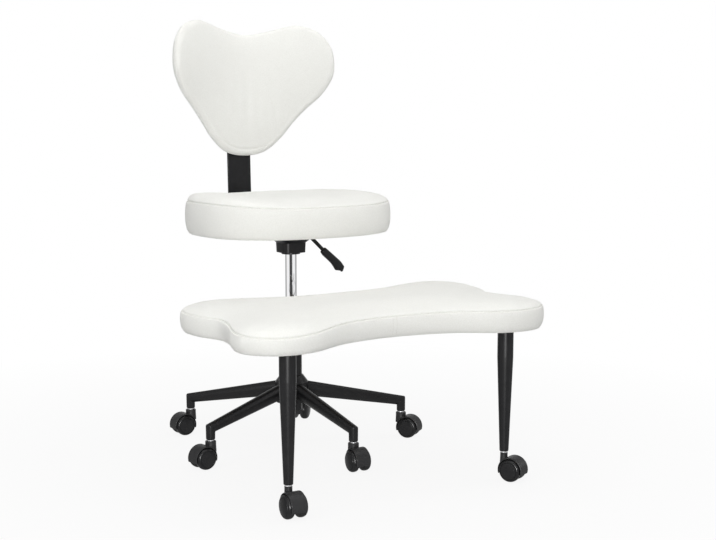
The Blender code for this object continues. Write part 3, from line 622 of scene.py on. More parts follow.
# %% Cloth map
def clothed(mesh, rings, band):
    """A UV map in metres: the flat pattern on the panels, and length against girth on the band."""
    size = max(len(plan) for plan, _ in rings)
    ring_of = np.concatenate([np.full(len(plan), r) for r, (plan, _) in enumerate(rings)])
    index_of = np.concatenate([np.arange(len(plan)) for plan, _ in rings])
    plans = np.concatenate([plan for plan, _ in rings])
    edge = rings[band[0]][0]
    step = np.linalg.norm(edge[1] - edge[0])
    girth = np.cumsum([0.0] + [math.hypot(np.linalg.norm(b[0][0] - a[0][0]), b[1] - a[1])
                               for a, b in zip(rings, rings[1:])])
    layer = mesh.uv_layers.new(name="cloth")
    for face in mesh.polygons:
        corners = list(face.vertices)
        on_band = band[0] <= ring_of[corners].min() and ring_of[corners].max() <= band[1]
        wraps = index_of[corners].max() - index_of[corners].min() > size // 2
        for loop, vertex in zip(face.loop_indices, corners):
            if on_band:
                lap = size if wraps and index_of[vertex] < size // 2 else 0
                layer.data[loop].uv = ((index_of[vertex] + lap) * step, girth[ring_of[vertex]])
            else:
                layer.data[loop].uv = plans[vertex]
    return mesh


# %% Sewing
def sewn(rings, place, band, first_soft, cloth, seam, depth, width, pucker=0.0):
    """The finished cover: its soft rings follow the cloth, and its seam is pressed in, with faint puckers."""
    mesh = clothed(laid(rings, place), rings, band)
    points = points_of(mesh)
    if cloth:
        ring_of = np.concatenate([np.full(len(plan), r) for r, (plan, _) in enumerate(rings)])
        soft = ring_of >= first_soft
        points[soft] += following(points[soft], *cloth)
        mesh.vertices.foreach_set("co", points.astype(np.float32).ravel())
        mesh.update()
    normals = np.empty(len(mesh.vertices) * 3, np.float32)
    mesh.vertices.foreach_get("normal", normals)
    tree = tree_of(seam)
    hits = [tree.find(point) for point in points]
    gap = np.array([hit[2] for hit in hits])
    nearest = np.array([hit[1] for hit in hits])
    beat = nearest * (2.0 * math.pi / len(seam))
    ripple = np.sin(beat * 97.0) + 0.7 * np.sin(beat * 151.0 + 1.0) + 0.5 * np.sin(beat * 61.0 + 2.0)
    press = np.exp(-(gap / width) ** 2) + pucker * ripple * np.exp(-(gap / 0.009) ** 2)
    points -= normals.reshape(-1, 3) * (press * np.broadcast_to(depth, len(seam))[nearest])[:, None]
    mesh.vertices.foreach_set("co", points.astype(np.float32).ravel())
    mesh.update()
    return mesh


# %% [markdown]
# ## The seat
# The seat is a boxed cushion: a top panel, a band 69 mm deep round the side and one plain seam between
# them. Its lower edge is rolled under to the board, and its top is full right out to the shoulder.

# %% Seat profile
SEAT_PROFILE = ((0.0128, 0.0), (0.0114, -0.0006), (0.0096, -0.0002), (0.0076, 0.0016), (0.0056, 0.0046),
                (0.0038, 0.0086), (0.0023, 0.0136), (0.0012, 0.0196), (0.0005, 0.0262), (0.0002, 0.0330),
                (0.0002, 0.0400), (0.0006, 0.0470), (0.0013, 0.0535), (0.0022, 0.0592), (0.0032, 0.0636),
                (0.0041, 0.0664), (0.0048, 0.0680), (0.0054, 0.0690), (0.0062, 0.0699), (0.0074, 0.0711),
                (0.0098, 0.0732), (0.0132, 0.0756), (0.0176, 0.0779), (0.0230, 0.0797), (0.0298, 0.0810))
SEAT_DOME = ((0.965, 0.0815), (0.93, 0.0818), (0.85, 0.0824), (0.75, 0.0829), (0.62, 0.0833), (0.48, 0.0836),
             (0.34, 0.0838), (0.20, 0.0839), (0.08, 0.0840))
SEAT_SEAM_AT = 17
SEAT_SEAM_H = SEAT_PROFILE[SEAT_SEAM_AT][1]
SEAM_LIFT, RIGHT_SEAM_LIFT, LEFT_SEAM_LIFT = 0.002, 0.007, 0.003
RIGHT_CROWN, LEFT_CROWN = 0.0145, 0.0058
BLANK_INSET = 0.0015
BOARD_T, BOARD_INSET = 0.012, 0.014


# %% Uneven foam
def leaning(height, seam, seam_lean, top_lean, shoulder):
    """A height that follows the seam's lean below it, and passes to the top's lean over the shoulder."""
    if height < seam:
        return height + seam_lean * max(height, 0.0) / seam
    share = math.sin(0.5 * math.pi * min(1.0, (height - seam) / shoulder))
    return height + seam_lean + (top_lean - seam_lean) * share


def swelling(distance, start, reach, power):
    """0 up to a start, and then a curve that reaches 1."""
    return min(1.0, max(0.0, (distance - start) / reach)) ** power


def on_seat_cover(x, y, height):
    """A seat point. The foam is fuller at the two ends, most of all at the sitter's right."""
    end = swelling(abs(x), start=0.10, reach=0.146, power=1.5)
    seam_lean = SEAM_LIFT + end * (RIGHT_SEAM_LIFT if x < 0.0 else LEFT_SEAM_LIFT)
    crown = swelling(abs(x), start=0.075, reach=0.14, power=1.8)
    top_lean = crown * (RIGHT_CROWN if x < 0.0 else LEFT_CROWN)
    return on_seat(x, y, leaning(height, SEAT_SEAM_H, seam_lean, top_lean, shoulder=0.012))


# %% Seat cushion
middle = np.array([0.0, 0.0])
small = inset(seat_pattern, BLANK_INSET)
outer = pad_rings(small, middle, SEAT_PROFILE, SEAT_DOME)
seat_seam = np.array([on_seat_cover(x, y, SEAT_SEAM_H) for x, y in spaced(outer[2 * SEAT_SEAM_AT][0], 900)])
seat_cloth = None
seat_blank = laid(floor_rings(outer[0][0], middle, 0.0) + outer, on_seat_cover)
seat_cloth = filled(seat_blank, voxel=0.005, cap=0.006, held=lambda points: (
    (points[:, 2] < SEAT_Z + 0.005) | (gap_to(seat_seam, points) < 0.004)))
under = pocket_rings(seat_pattern, middle, BOARD_INSET)
seat_pad = sewn(under + outer, on_seat_cover, band=(len(under), len(under) + 2 * SEAT_SEAM_AT),
                first_soft=len(under) + 4, cloth=seat_cloth, seam=seat_seam, depth=0.0032, width=0.0017,
                pucker=0.05)
seat_cushion = piece("seat_cushion_cover", seat_pad, ivory_cloth, "seat", "seat_cushion", sharp=70.0)
print("seat cushion:", len(seat_pad.polygons), "faces")

# %% [markdown]
# ## The footstool pad
# The butterfly is sewn the same way, with a shallower band and a rounder shoulder. In the picture its seam
# climbs a little from the left wing to the right one, as a hand-pulled cover does. At the front, where the
# two ends of the band meet, there is a pair of upright seams.

# %% Footstool cushion
WINGS_PROFILE = ((0.0128, 0.0), (0.0112, -0.0004), (0.0094, 0.0002), (0.0074, 0.0020), (0.0052, 0.0048),
                 (0.0034, 0.0084), (0.0020, 0.0126), (0.0011, 0.0178), (0.0007, 0.0236), (0.0008, 0.0294),
                 (0.0014, 0.0346), (0.0023, 0.0386), (0.0032, 0.0412), (0.0039, 0.0426), (0.0045, 0.0435),
                 (0.0053, 0.0444), (0.0066, 0.0456), (0.0090, 0.0477), (0.0126, 0.0504), (0.0172, 0.0532),
                 (0.0232, 0.0557), (0.0306, 0.0577))
WINGS_DOME = ((0.965, 0.0587), (0.93, 0.0593), (0.84, 0.0603), (0.72, 0.0611), (0.58, 0.0616), (0.44, 0.0619),
              (0.30, 0.0621), (0.15, 0.0622), (0.05, 0.0623))
WINGS_SEAM_AT = 14
WINGS_SEAM_H = WINGS_PROFILE[WINGS_SEAM_AT][1]
WING_REACH, RIGHT_CLIMB, TOP_CLIMB, WING_DIP = 0.37, 0.0045, 0.003, 0.010
FRONT_SEAMS, FRONT_AHEAD = (-0.008, 0.001), 0.4950


def on_footstool_cover(x, ahead, height):
    """A footstool point. The seam dips at the front left wing and climbs to the right, and the top leans."""
    dip = WING_DIP * math.exp(-((x + 0.31) / 0.12) ** 2 - ((ahead - 0.55) / 0.11) ** 2)
    seam_lean = SEAM_LIFT + RIGHT_CLIMB * max(0.0, x) / WING_REACH - dip
    top_lean = TOP_CLIMB * x / WING_REACH
    return on_footstool(x, ahead, leaning(height, WINGS_SEAM_H, seam_lean, top_lean, shoulder=0.016))


middle = np.array([0.0, 0.320])
small = inset(wings_pattern, BLANK_INSET)
outer = pad_rings(small, middle, WINGS_PROFILE, WINGS_DOME)
wings_seam = np.array([on_footstool_cover(x, y, WINGS_SEAM_H)
                       for x, y in spaced(outer[2 * WINGS_SEAM_AT][0], 1400)])
wings_cloth = None
wings_blank = laid(floor_rings(outer[0][0], middle, 0.0) + outer, on_footstool_cover)
wings_cloth = filled(wings_blank, voxel=0.0052, cap=0.006, held=lambda points: (
    (points[:, 2] < FOOTSTOOL_Z + 0.004) | (gap_to(wings_seam, points) < 0.004)))
under = pocket_rings(wings_pattern, middle, BOARD_INSET)
front_rows = [[on_footstool(x, FRONT_AHEAD, height) for height in np.linspace(0.004, WINGS_SEAM_H, 60)]
              for x in FRONT_SEAMS]
footstool_pad = sewn(under + outer, on_footstool_cover, band=(len(under), len(under) + 2 * WINGS_SEAM_AT),
                     first_soft=len(under) + 4, cloth=wings_cloth,
                     seam=np.concatenate([wings_seam, *front_rows]), depth=0.0036, width=0.0018, pucker=0.05)
footstool_cushion = piece("footstool_cushion_cover", footstool_pad, ivory_cloth, "footstool", "footstool_cushion",
                          sharp=70.0)
footstool_cushion.visible_glossy = False
frame["nodes"]["footstool_board"].visible_glossy = False
print("footstool cushion:", len(footstool_pad.polygons), "faces")

# %% [markdown]
# ## The back
# The heart is thinner and softer than the seat. It curves round the sitter, and its edge is a full roll
# instead of a box, with the seam drawn in on the front, where it shows low down as a soft line. Its rear is
# upholstered too, so the cover closes over the board.

# %% Back cushion
BACK_PROFILE = ((0.0400, 0.0), (0.0320, 0.0012), (0.0240, 0.0034), (0.0170, 0.0062), (0.0110, 0.0092),
                (0.0062, 0.0125), (0.0028, 0.0162), (0.0010, 0.0200), (0.0010, 0.0238), (0.0026, 0.0274),
                (0.0056, 0.0306), (0.0092, 0.0329), (0.0122, 0.0341), (0.0142, 0.0347), (0.0158, 0.0351),
                (0.0176, 0.0356), (0.0200, 0.0363), (0.0240, 0.0375), (0.0300, 0.0390), (0.0380, 0.0405))
BACK_DOME = ((0.95, 0.0414), (0.90, 0.0422), (0.80, 0.0434), (0.68, 0.0443), (0.54, 0.0450), (0.40, 0.0455),
             (0.26, 0.0458), (0.12, 0.0460), (0.04, 0.0460))
BACK_SEAM_AT = 14
middle = np.array([0.0, HEART_MIDDLE])
small = inset(heart_pattern, distance=0.0010)
outer = pad_rings(small, middle, BACK_PROFILE, BACK_DOME)
seam_plan = spaced(outer[2 * BACK_SEAM_AT][0], 900)
back_seam = np.array([on_back(x, y, BACK_PROFILE[BACK_SEAM_AT][1]) for x, y in seam_plan])
low_down = np.clip((0.17 - seam_plan[:, 1]) / 0.11, 0.0, 1.0)
tightness = low_down * np.clip(1.0 - seam_plan[:, 0] / 0.12, 0.25, 1.0)
TO_LEAN = LEAN_FRAME.inverted()


def rear_depth(points):
    """How far points are in front of the back's rear face."""
    rear = BACK_CURVE_R + BACK_GIRTH
    local = [TO_LEAN @ Vector(point) for point in points]
    return np.array([rear - math.hypot(x, y + rear + FIT) for x, y, _ in local])


back_cloth = None
under = floor_rings(outer[0][0], middle, 0.0)
back_cloth = filled(laid(under + outer, on_back), voxel=0.005, cap=0.005, held=lambda points: (
    (rear_depth(points) < 0.002) | (gap_to(back_seam, points) < 0.003)))
back_pad = sewn(under + outer, on_back, band=(len(under), len(under) + 2 * BACK_SEAM_AT),
                first_soft=len(under) + 2, cloth=back_cloth, seam=back_seam, depth=0.0012 * tightness,
                width=0.0030, pucker=0.07)
back_cushion = piece("back_cushion_cover", back_pad, ivory_cloth, "seat", "back_cushion", "back_board",
                     sharp=70.0)
print("back cushion:", len(back_pad.polygons), "faces")

# %% [markdown]
# ## Stitches and staples
# Stitches follow the seams, and staples hold the cover to the boards. Both are one small shape repeated
# along a path, so one Geometry Nodes tree does both: it resamples the path at a pitch, sets a rounded bar
# on each point along the path, and makes the copies real. The paths are laid on the finished covers, a
# little proud of the cloth.


# %% Geometry Nodes helpers
def new_tree(name):
    """A Geometry Nodes tree with geometry in and out."""
    tree = bpy.data.node_groups.new(name, "GeometryNodeTree")
    for way in ("INPUT", "OUTPUT"):
        tree.interface.new_socket("Geometry", in_out=way, socket_type="NodeSocketGeometry")
    return tree


def group_socket(tree, name, kind, value=None):
    """The identifier of a new input of a tree, with its first value."""
    made = tree.interface.new_socket(name, in_out="INPUT", socket_type="NodeSocket" + kind)
    if value is not None:
        made.default_value = value
    return made.identifier


def handed_out(tree, copies, finish_socket):
    """The end of a tree: its copies are made real and get their finish."""
    real = add(tree, "GeometryNodeRealizeInstances", copies.outputs[0])
    painted = add(tree, "GeometryNodeSetMaterial", Geometry=real.outputs[0], Material=finish_socket)
    add(tree, "NodeGroupOutput", painted.outputs[0])


def grown(data, tree, inputs):
    """The plain mesh that a tree makes of a mesh or a curve, with the tree's inputs by identifier."""
    holder = bpy.data.objects.new("holder", data)
    scene.collection.objects.link(holder)
    modifier = holder.modifiers.new("tree", "NODES")
    modifier.node_group = tree
    for identifier, value in inputs.items():
        modifier[identifier] = value
    graph = bpy.context.evaluated_depsgraph_get()
    mesh = bpy.data.meshes.new_from_object(holder.evaluated_get(graph), depsgraph=graph)
    bpy.data.objects.remove(holder)
    return mesh


# %% Repeat-along-a-path tree
bars_tree = new_tree("bars_along_a_path")
BAR_INPUTS = {name: group_socket(bars_tree, name, "Float", value)
              for name, value in (("Pitch", 0.003), ("Length", 0.0024), ("Thickness", 0.0005))}
BAR_INPUTS["Finish"] = group_socket(bars_tree, "Finish", "Material")
given = add(bars_tree, "NodeGroupInput")
rows = add(bars_tree, "GeometryNodeResampleCurve", mode="LENGTH", Curve=given.outputs["Geometry"],
           Length=given.outputs["Pitch"])
ball = add(bars_tree, "GeometryNodeMeshUVSphere", Segments=8, Rings=5, Radius=0.5)
size = add(bars_tree, "ShaderNodeCombineXYZ", given.outputs["Length"], given.outputs["Thickness"],
           given.outputs["Thickness"])
bar = add(bars_tree, "GeometryNodeTransform", Geometry=ball.outputs["Mesh"], Scale=size.outputs[0])
tangent = add(bars_tree, "GeometryNodeInputTangent").outputs[0]
heading = add(bars_tree, "FunctionNodeAlignRotationToVector", Vector=tangent)
heading.axis = "X"
copies = add(bars_tree, "GeometryNodeInstanceOnPoints", Points=rows.outputs[0], Instance=bar.outputs[0],
             Rotation=heading.outputs[0])
handed_out(bars_tree, copies, given.outputs["Finish"])


def bars_along(paths, closed, **inputs):
    """One mesh of bars along some paths of points."""
    curve = bpy.data.curves.new("path", "CURVE")
    curve.dimensions = "3D"
    for path in paths:
        spline = curve.splines.new("POLY")
        spline.points.add(len(path) - 1)
        spline.points.foreach_set("co", np.column_stack([path, np.ones(len(path))]).ravel())
        spline.use_cyclic_u = closed
    return grown(curve, bars_tree, {BAR_INPUTS[name]: value for name, value in inputs.items()})


def laid_on(cover, path, proud):
    """A path moved on to the surface of a cover."""
    surface = BVHTree.FromObject(cover, bpy.context.evaluated_depsgraph_get())
    moved_path = []
    for point in path:
        place, normal, _, _ = surface.find_nearest(Vector(point))
        moved_path.append(place + normal * proud)
    return np.array(moved_path)


# %% Stitches in the seams
STITCH = dict(Pitch=0.0034, Length=0.0028, Thickness=0.0006, Finish=ivory_thread_painted_shade)
for name, cover, seam, body in (("seat_stitches", seat_cushion, seat_seam, "seat"),
                                ("footstool_stitches", footstool_cushion, wings_seam, "footstool")):
    piece(name, bars_along([laid_on(cover, seam, 0.0)], True, **STITCH), ivory_thread_painted_shade, body, sharp=80.0)
front_paths = [laid_on(footstool_cushion, row, 0.0) for row in front_rows]
front_stitches = bars_along(front_paths, False, **STITCH)
piece("footstool_front_stitches", front_stitches, ivory_thread_painted_shade, "footstool", sharp=80.0)
print("stitched seams:", 2 + len(front_paths))

# %% Boards, hems and staples
HEM_OUTER, HEM_INNER, HEM_WAVE = 0.0105, 0.034, 0.0012
HEM_TOP, HEM_UNDER = -0.00003, -0.00027
STAPLE = dict(Pitch=0.034, Length=0.011, Thickness=0.0009, Finish=bright_steel)
STAPLE_INSET, STAPLE_H = 0.025, -0.0006


def hem(name, loop, place, body):
    """The strip of cover turned under the board, thin enough to lie between the board and what carries it."""
    steps = np.arange(len(loop))
    wave = HEM_WAVE * np.sin(steps * 0.9)[:, None] * np.sin(steps * 0.23)[:, None]
    outer_edge, inner_edge = inset(loop, HEM_OUTER), inset(loop, HEM_INNER)
    inner_edge = inner_edge + (inset(loop, HEM_INNER + 0.001) - inner_edge) * wave / 0.001
    rings = [(outer_edge, HEM_TOP), (outer_edge, HEM_UNDER), (inner_edge, HEM_UNDER), (inner_edge, HEM_TOP)]
    mesh = skin([[place(x, y, height) for x, y in plan] for plan, height in rings], closed=True)
    layer = mesh.uv_layers.new(name="cloth")
    for corner in mesh.loops:
        layer.data[corner.index].uv = mesh.vertices[corner.vertex_index].co.xy
    piece(name, mesh, ivory_cloth, body, sharp=30.0)


for side, loop, place in (("seat", seat_pattern, on_seat), ("footstool", wings_pattern, on_footstool)):
    refinish(side + "_board", plywood)
    hem(side + "_hem", loop, place, side)
    path = [tuple(place(x, y, STAPLE_H)) for x, y in inset(loop, STAPLE_INSET)]
    piece(side + "_staples", bars_along([path], True, **STAPLE), bright_steel, side, sharp=80.0)
    print(side, "board, hem and staples done")

# %% [markdown]
# ## The star base
# Five tapered tubes run from the hub down to the casters. One leg is modelled with a softly oval section
# that turns down into a round socket, and a Geometry Nodes tree repeats it round the hub at equal angles,
# as a jig does when the base is welded.

# %% One leg
STUB_Z, LEG_TIP_TOP, HUB_TOP, HUB_Z = 0.06399, 0.09999, 0.15399, 0.10499
STAR_R, STUB_R, HUB_R = 0.2776, 0.0105, 0.040
ROOT_HALF_W, ROOT_HALF_H, TIP_HALF_H = 0.013, 0.019, 0.010
ROOT_Y, ROOT_Z = HUB_R - 0.004, HUB_TOP - ROOT_HALF_H
oval = squircle(1.0, 1.0, 2.2, 48)
disc = squircle(1.0, 1.0, 2.0, 48)
root = [(a * ROOT_HALF_W, ROOT_Y, ROOT_Z + b * ROOT_HALF_H) for a, b in oval]
mitre = [(a * STUB_R, STAR_R + b * STUB_R, LEG_TIP_TOP - TIP_HALF_H + b * TIP_HALF_H) for a, b in oval]
foot = [(a * STUB_R, STAR_R + b * STUB_R, STUB_Z) for a, b in disc]
leg = skin([[(0.0, ROOT_Y, ROOT_Z)], root, mitre, foot, [(0.0, STAR_R, STUB_Z)]])
leg = eased(leg, 0.0022, 3, 40.0)
print("one leg:", len(leg.polygons), "faces")

# %% Five legs and the hub
star_tree = new_tree("legs_round_a_hub")
LEG_COUNT = group_socket(star_tree, "Legs", "Int")
FIRST_ANGLE = group_socket(star_tree, "First angle", "Float", 0.0)
FINISH = group_socket(star_tree, "Finish", "Material")
given = add(star_tree, "NodeGroupInput")
spots = add(star_tree, "GeometryNodeMeshLine", Count=given.outputs["Legs"], Offset=(0.0, 0.0, 0.0))
step = maths(star_tree, "DIVIDE", 2.0 * math.pi, given.outputs["Legs"])
angle = maths(star_tree, "MULTIPLY", add(star_tree, "GeometryNodeInputIndex").outputs[0], step)
angle = maths(star_tree, "ADD", angle, given.outputs["First angle"])
about_z = add(star_tree, "ShaderNodeCombineXYZ", 0.0, 0.0, angle).outputs[0]
turn = add(star_tree, "FunctionNodeEulerToRotation", about_z)
copies = add(star_tree, "GeometryNodeInstanceOnPoints", Points=spots.outputs[0],
             Instance=given.outputs["Geometry"], Rotation=turn.outputs[0])
handed_out(star_tree, copies, given.outputs["Finish"])
legs = grown(leg, star_tree, {LEG_COUNT: 5, FIRST_ANGLE: SEAT_TURN - math.pi / 5.0, FINISH: powder_coat})
piece("star_legs", moved(legs, COLUMN), powder_coat, "base", *[f"base_leg_{k}" for k in range(1, 6)])

COLUMN_R = 0.025
CONE_H, CONE_LIP = 0.017, 0.0022
neck = COLUMN_R + FIT
hub = lathe(((neck, HUB_Z), (HUB_R, HUB_Z), (HUB_R, HUB_TOP), (neck + CONE_LIP, HUB_TOP + CONE_H),
             (neck, HUB_TOP + CONE_H)), 96, True)
piece("star_hub", moved(eased(hub, 0.0012), COLUMN), powder_coat, "base", "base_hub")
print("star legs:", len(legs.polygons), "faces")

# %% [markdown]
# ## Column and gas lift
# The column is a painted tube with a stop ring that carries the footstool. A grey bush guides the chrome
# cylinder, which shows between the column and the seat.

# %% Column and bush
COLUMN_Z, COLUMN_TOP, STOP_Z, BUSH_TOP, CYLINDER_TOP = 0.08499, 0.35499, 0.28949, 0.35829, 0.49879
MECHANISM_Z, MECHANISM_TOP, LEVER_Z = 0.46579, 0.51949, 0.50829
ROD_HOLE_R, STOP_R, STOP_H, TUBE_BORE_R, TUBE_FLOOR = 0.0055, 0.031, 0.006, 0.0225, 0.006
SLIDE_R, BUSH_R, BUSH_LENGTH = 0.0145, 0.022, 0.100
tube = lathe(((ROD_HOLE_R, COLUMN_Z), (COLUMN_R, COLUMN_Z), (COLUMN_R, STOP_Z - STOP_H),
              (STOP_R, STOP_Z - STOP_H), (STOP_R, STOP_Z), (COLUMN_R, STOP_Z),
              (COLUMN_R, COLUMN_TOP), (TUBE_BORE_R, COLUMN_TOP),
              (TUBE_BORE_R, COLUMN_Z + TUBE_FLOOR), (ROD_HOLE_R, COLUMN_Z + TUBE_FLOOR)), 96, True)
piece("column", moved(eased(tube, 0.0008), COLUMN), powder_coat, "base", "column_tube")
bush = lathe(((SLIDE_R, COLUMN_TOP - BUSH_LENGTH), (BUSH_R, COLUMN_TOP - BUSH_LENGTH),
              (BUSH_R, COLUMN_TOP + FIT), (COLUMN_R, COLUMN_TOP + FIT), (COLUMN_R, BUSH_TOP),
              (SLIDE_R, BUSH_TOP)), 96, True)
piece("column_bush", moved(eased(bush, 0.0007), COLUMN), grey_nylon, "base", "guide_bush")
print("column:", round((COLUMN_TOP - COLUMN_Z) * 1000.0), "mm long")

# %% Cylinder, rod and pin
CYLINDER_R, CYLINDER_IN_COLUMN, BORE_DEPTH, WELL_R, WELL_DEPTH = 0.014, 0.160, 0.268, 0.0043, 0.0113
low = COLUMN_TOP - CYLINDER_IN_COLUMN
cylinder = lathe(((0.0, low + BORE_DEPTH), (ROD_HOLE_R, low + BORE_DEPTH), (ROD_HOLE_R, low), (CYLINDER_R, low),
                  (CYLINDER_R, CYLINDER_TOP), (WELL_R, CYLINDER_TOP), (WELL_R, CYLINDER_TOP - WELL_DEPTH),
                  (0.0, CYLINDER_TOP - WELL_DEPTH)), 96)
piece("lift_cylinder", moved(eased(cylinder, 0.0006), COLUMN), chrome, "seat", "gas_cylinder")
for node in ("piston_rod", "release_pin"):
    refinish(node, bright_steel)
print("lift shows", round((MECHANISM_Z - BUSH_TOP) * 1000.0), "mm of chrome")

# %% [markdown]
# ## Mechanism and lever
# Under the seat sits a pressed box with a low collar, a flared skirt and a wide plate. The lever's rod
# leaves it to one side, bends down and ends in a flat paddle.

# %% Mechanism
def square_ring(width, depth, squareness, z):
    """A ring of a rounded rectangle."""
    return [(x, y, z) for x, y in squircle(width / 2.0, depth / 2.0, squareness, 72)]


box_z = MECHANISM_Z + 0.004
skirt_z = box_z + 0.0235
plate_z = MECHANISM_TOP - 0.003
SHELL = ((0.045, 0.045, 2.0, MECHANISM_Z), (0.045, 0.045, 2.0, box_z), (0.059, 0.059, 4.2, box_z),
         (0.061, 0.061, 4.2, skirt_z), (0.067, 0.067, 4.4, skirt_z + 0.003),
         (0.080, 0.080, 4.6, skirt_z + 0.009), (0.084, 0.084, 5.0, plate_z), (0.130, 0.150, 9.0, plate_z),
         (0.130, 0.150, 9.0, MECHANISM_TOP), (0.044, 0.044, 5.0, MECHANISM_TOP),
         (0.044, 0.044, 5.0, box_z + 0.004), (0.0286, 0.0286, 2.0, box_z + 0.004),
         (0.0286, 0.0286, 2.0, MECHANISM_Z))
housing = skin([square_ring(*row) for row in SHELL], True)
PLAY, SLOT_FROM, SLOT_TO = 0.0057, 0.011, 0.076
slot_rings = [[(x, side * PLAY, LEVER_Z + up * PLAY) for side, up in ((-1, -1), (1, -1), (1, 1), (-1, 1))]
              for x in (SLOT_FROM, SLOT_TO)]
slot = skin([[(SLOT_FROM, 0.0, LEVER_Z)], *slot_rings, [(SLOT_TO, 0.0, LEVER_Z)]])
housing = eased(carved(housing, cuts=[slot]), 0.0010, 2)
piece("seat_housing", moved(housing, SEAT_FRAME), powder_coat, "seat", "seat_mechanism")
print("housing:", len(housing.polygons), "faces")

# %% Lever
PIVOT_X = 0.03075
PIVOT = SEAT_FRAME @ Matrix.Translation((PIVOT_X, 0.0, LEVER_Z))


def bent(corners, radius, steps=8):
    """A path in a plane through corners, with each inner one rounded."""
    corners = [np.array(c, float) for c in corners]
    path = [corners[0]]
    for before, corner, after in zip(corners, corners[1:], corners[2:]):
        back = (before - corner) / np.linalg.norm(before - corner)
        ahead = (after - corner) / np.linalg.norm(after - corner)
        half = math.acos(np.clip(back @ ahead, -1.0, 1.0)) / 2.0
        middle = corner + (back + ahead) / np.linalg.norm(back + ahead) * radius / math.sin(half)
        start = corner + back * radius / math.tan(half) - middle
        end = corner + ahead * radius / math.tan(half) - middle
        turn = math.atan2(start[0] * end[1] - start[1] * end[0], start @ end)
        for k in range(steps + 1):
            c, s = math.cos(turn * k / steps), math.sin(turn * k / steps)
            path.append(middle + (start[0] * c - start[1] * s, start[0] * s + start[1] * c))
    return np.array(path + [corners[-1]])


def lefts(path):
    """Unit vectors square to a path in a plane."""
    run = np.gradient(path, axis=0)
    run /= np.linalg.norm(run, axis=1)[:, None]
    return np.stack([-run[:, 1], run[:, 0]], 1)


LEVER_R, BEND_R = 0.0045, 0.006
elbow = (0.056 - PIVOT_X, -0.006)
tip = (elbow[0] + 0.042, elbow[1] - 0.040)
path = bent(((-0.04075, 0.0), (0.044 - PIVOT_X, 0.0), elbow, tip), BEND_R)
rings = [[(x + LEVER_R * a * side[0], LEVER_R * b, z + LEVER_R * a * side[1])
          for a, b in squircle(1.0, 1.0, 2.0, 28)] for (x, z), side in zip(path, lefts(path))]
rod = skin([[(path[0][0], 0.0, path[0][1])], *rings, [(path[-1][0], 0.0, path[-1][1])]])
piece("lever_bar", moved(rod, PIVOT), powder_coat, "lever", "lever_rod")
print("lever rod:", len(rings), "rings")

# %% Paddle
GRIP_OVERLAP, GRIP_LENGTH, GRIP_HALF = 0.0107, 0.079, 0.0065
run = math.dist(elbow, tip)
ahead = ((tip[0] - elbow[0]) / run, (tip[1] - elbow[1]) / run)
start = (tip[0] - ahead[0] * GRIP_OVERLAP, tip[1] - ahead[1] * GRIP_OVERLAP)
PADDLE = ((0.0, 0.0064, 0.0070, 0.90), (0.014, 0.0076, 0.0083, 1.0), (0.12, 0.0085, 0.0100, 0.97),
          (0.20, 0.0090, 0.0098, 0.95), (0.30, 0.0096, 0.0094, 0.92), (0.42, 0.0102, 0.0090, 0.90),
          (0.52, 0.0107, 0.0090, 0.88), (0.64, 0.0114, 0.0104, 0.86), (0.72, 0.0117, 0.0118, 0.84),
          (0.775, 0.0114, 0.0131, 0.80), (0.80, 0.0112, 0.0129, 0.78), (0.92, 0.0097, 0.0066, 0.63),
          (0.95, 0.0086, 0.0056, 0.58), (0.985, 0.0030, 0.0054, 0.46), (1.0, 0.0006, 0.0048, 0.38))
rings = []
for share, above, under, thick in PADDLE:
    x, z = start[0] + ahead[0] * share * GRIP_LENGTH, start[1] + ahead[1] * share * GRIP_LENGTH
    centre, half = (above - under) / 2.0, (above + under) / 2.0
    rings.append([(x - ahead[1] * (centre + half * a), GRIP_HALF * thick * b,
                   z + ahead[0] * (centre + half * a)) for a, b in squircle(1.0, 1.0, 3.6, 40)])
ends = [[tuple(np.mean(ring, axis=0))] for ring in (rings[0], rings[-1])]
paddle = skin([ends[0], *rings, ends[1]])
piece("lever_paddle", moved(paddle, PIVOT), moulded_black, "lever", "lever_grip", sharp=50.0)
print("paddle:", len(paddle.polygons), "faces")

# %% [markdown]
# ## Back bar and footstool frame
# Both are flat steel bars bent cold, so their edges are eased and their bends have a radius. The
# footstool's ring turns on the column, and its two tapered legs stand on casters.


# %% Flat bars
def flat_bar(path, width, thickness):
    """A flat bar bent along a path of (y, z) points."""
    rings = []
    for (y, z), side in zip(path, lefts(path)):
        out_y, out_z = thickness / 2.0 * side[0], thickness / 2.0 * side[1]
        rings.append([(across * width / 2.0, y + face * out_y, z + face * out_z)
                      for across, face in ((-1, -1), (1, -1), (1, 1), (-1, 1))])
    return skin([[(0.0, *path[0])], *rings, [(0.0, *path[-1])]])


BAR_W, BAR_T, BAR_RISE, BAR_BEND_R, BAR_END_Y = 0.064, 0.006, 0.342, 0.014, 0.0753
bar_y = BAR_FRONT_Y + BAR_T / 2.0
top = (bar_y + BAR_RISE * math.sin(RECLINE), BAR_FOOT_Z + BAR_RISE * math.cos(RECLINE))
bar_path = bent(((BAR_END_Y, BAR_FOOT_Z), (bar_y, BAR_FOOT_Z), top), BAR_BEND_R)
upright = eased(flat_bar(bar_path, BAR_W, BAR_T), 0.0009)
piece("back_upright", moved(upright, SEAT_FRAME), powder_coat, "seat", "back_bar", sharp=30.0)
print("back bar:", len(upright.polygons), "faces")

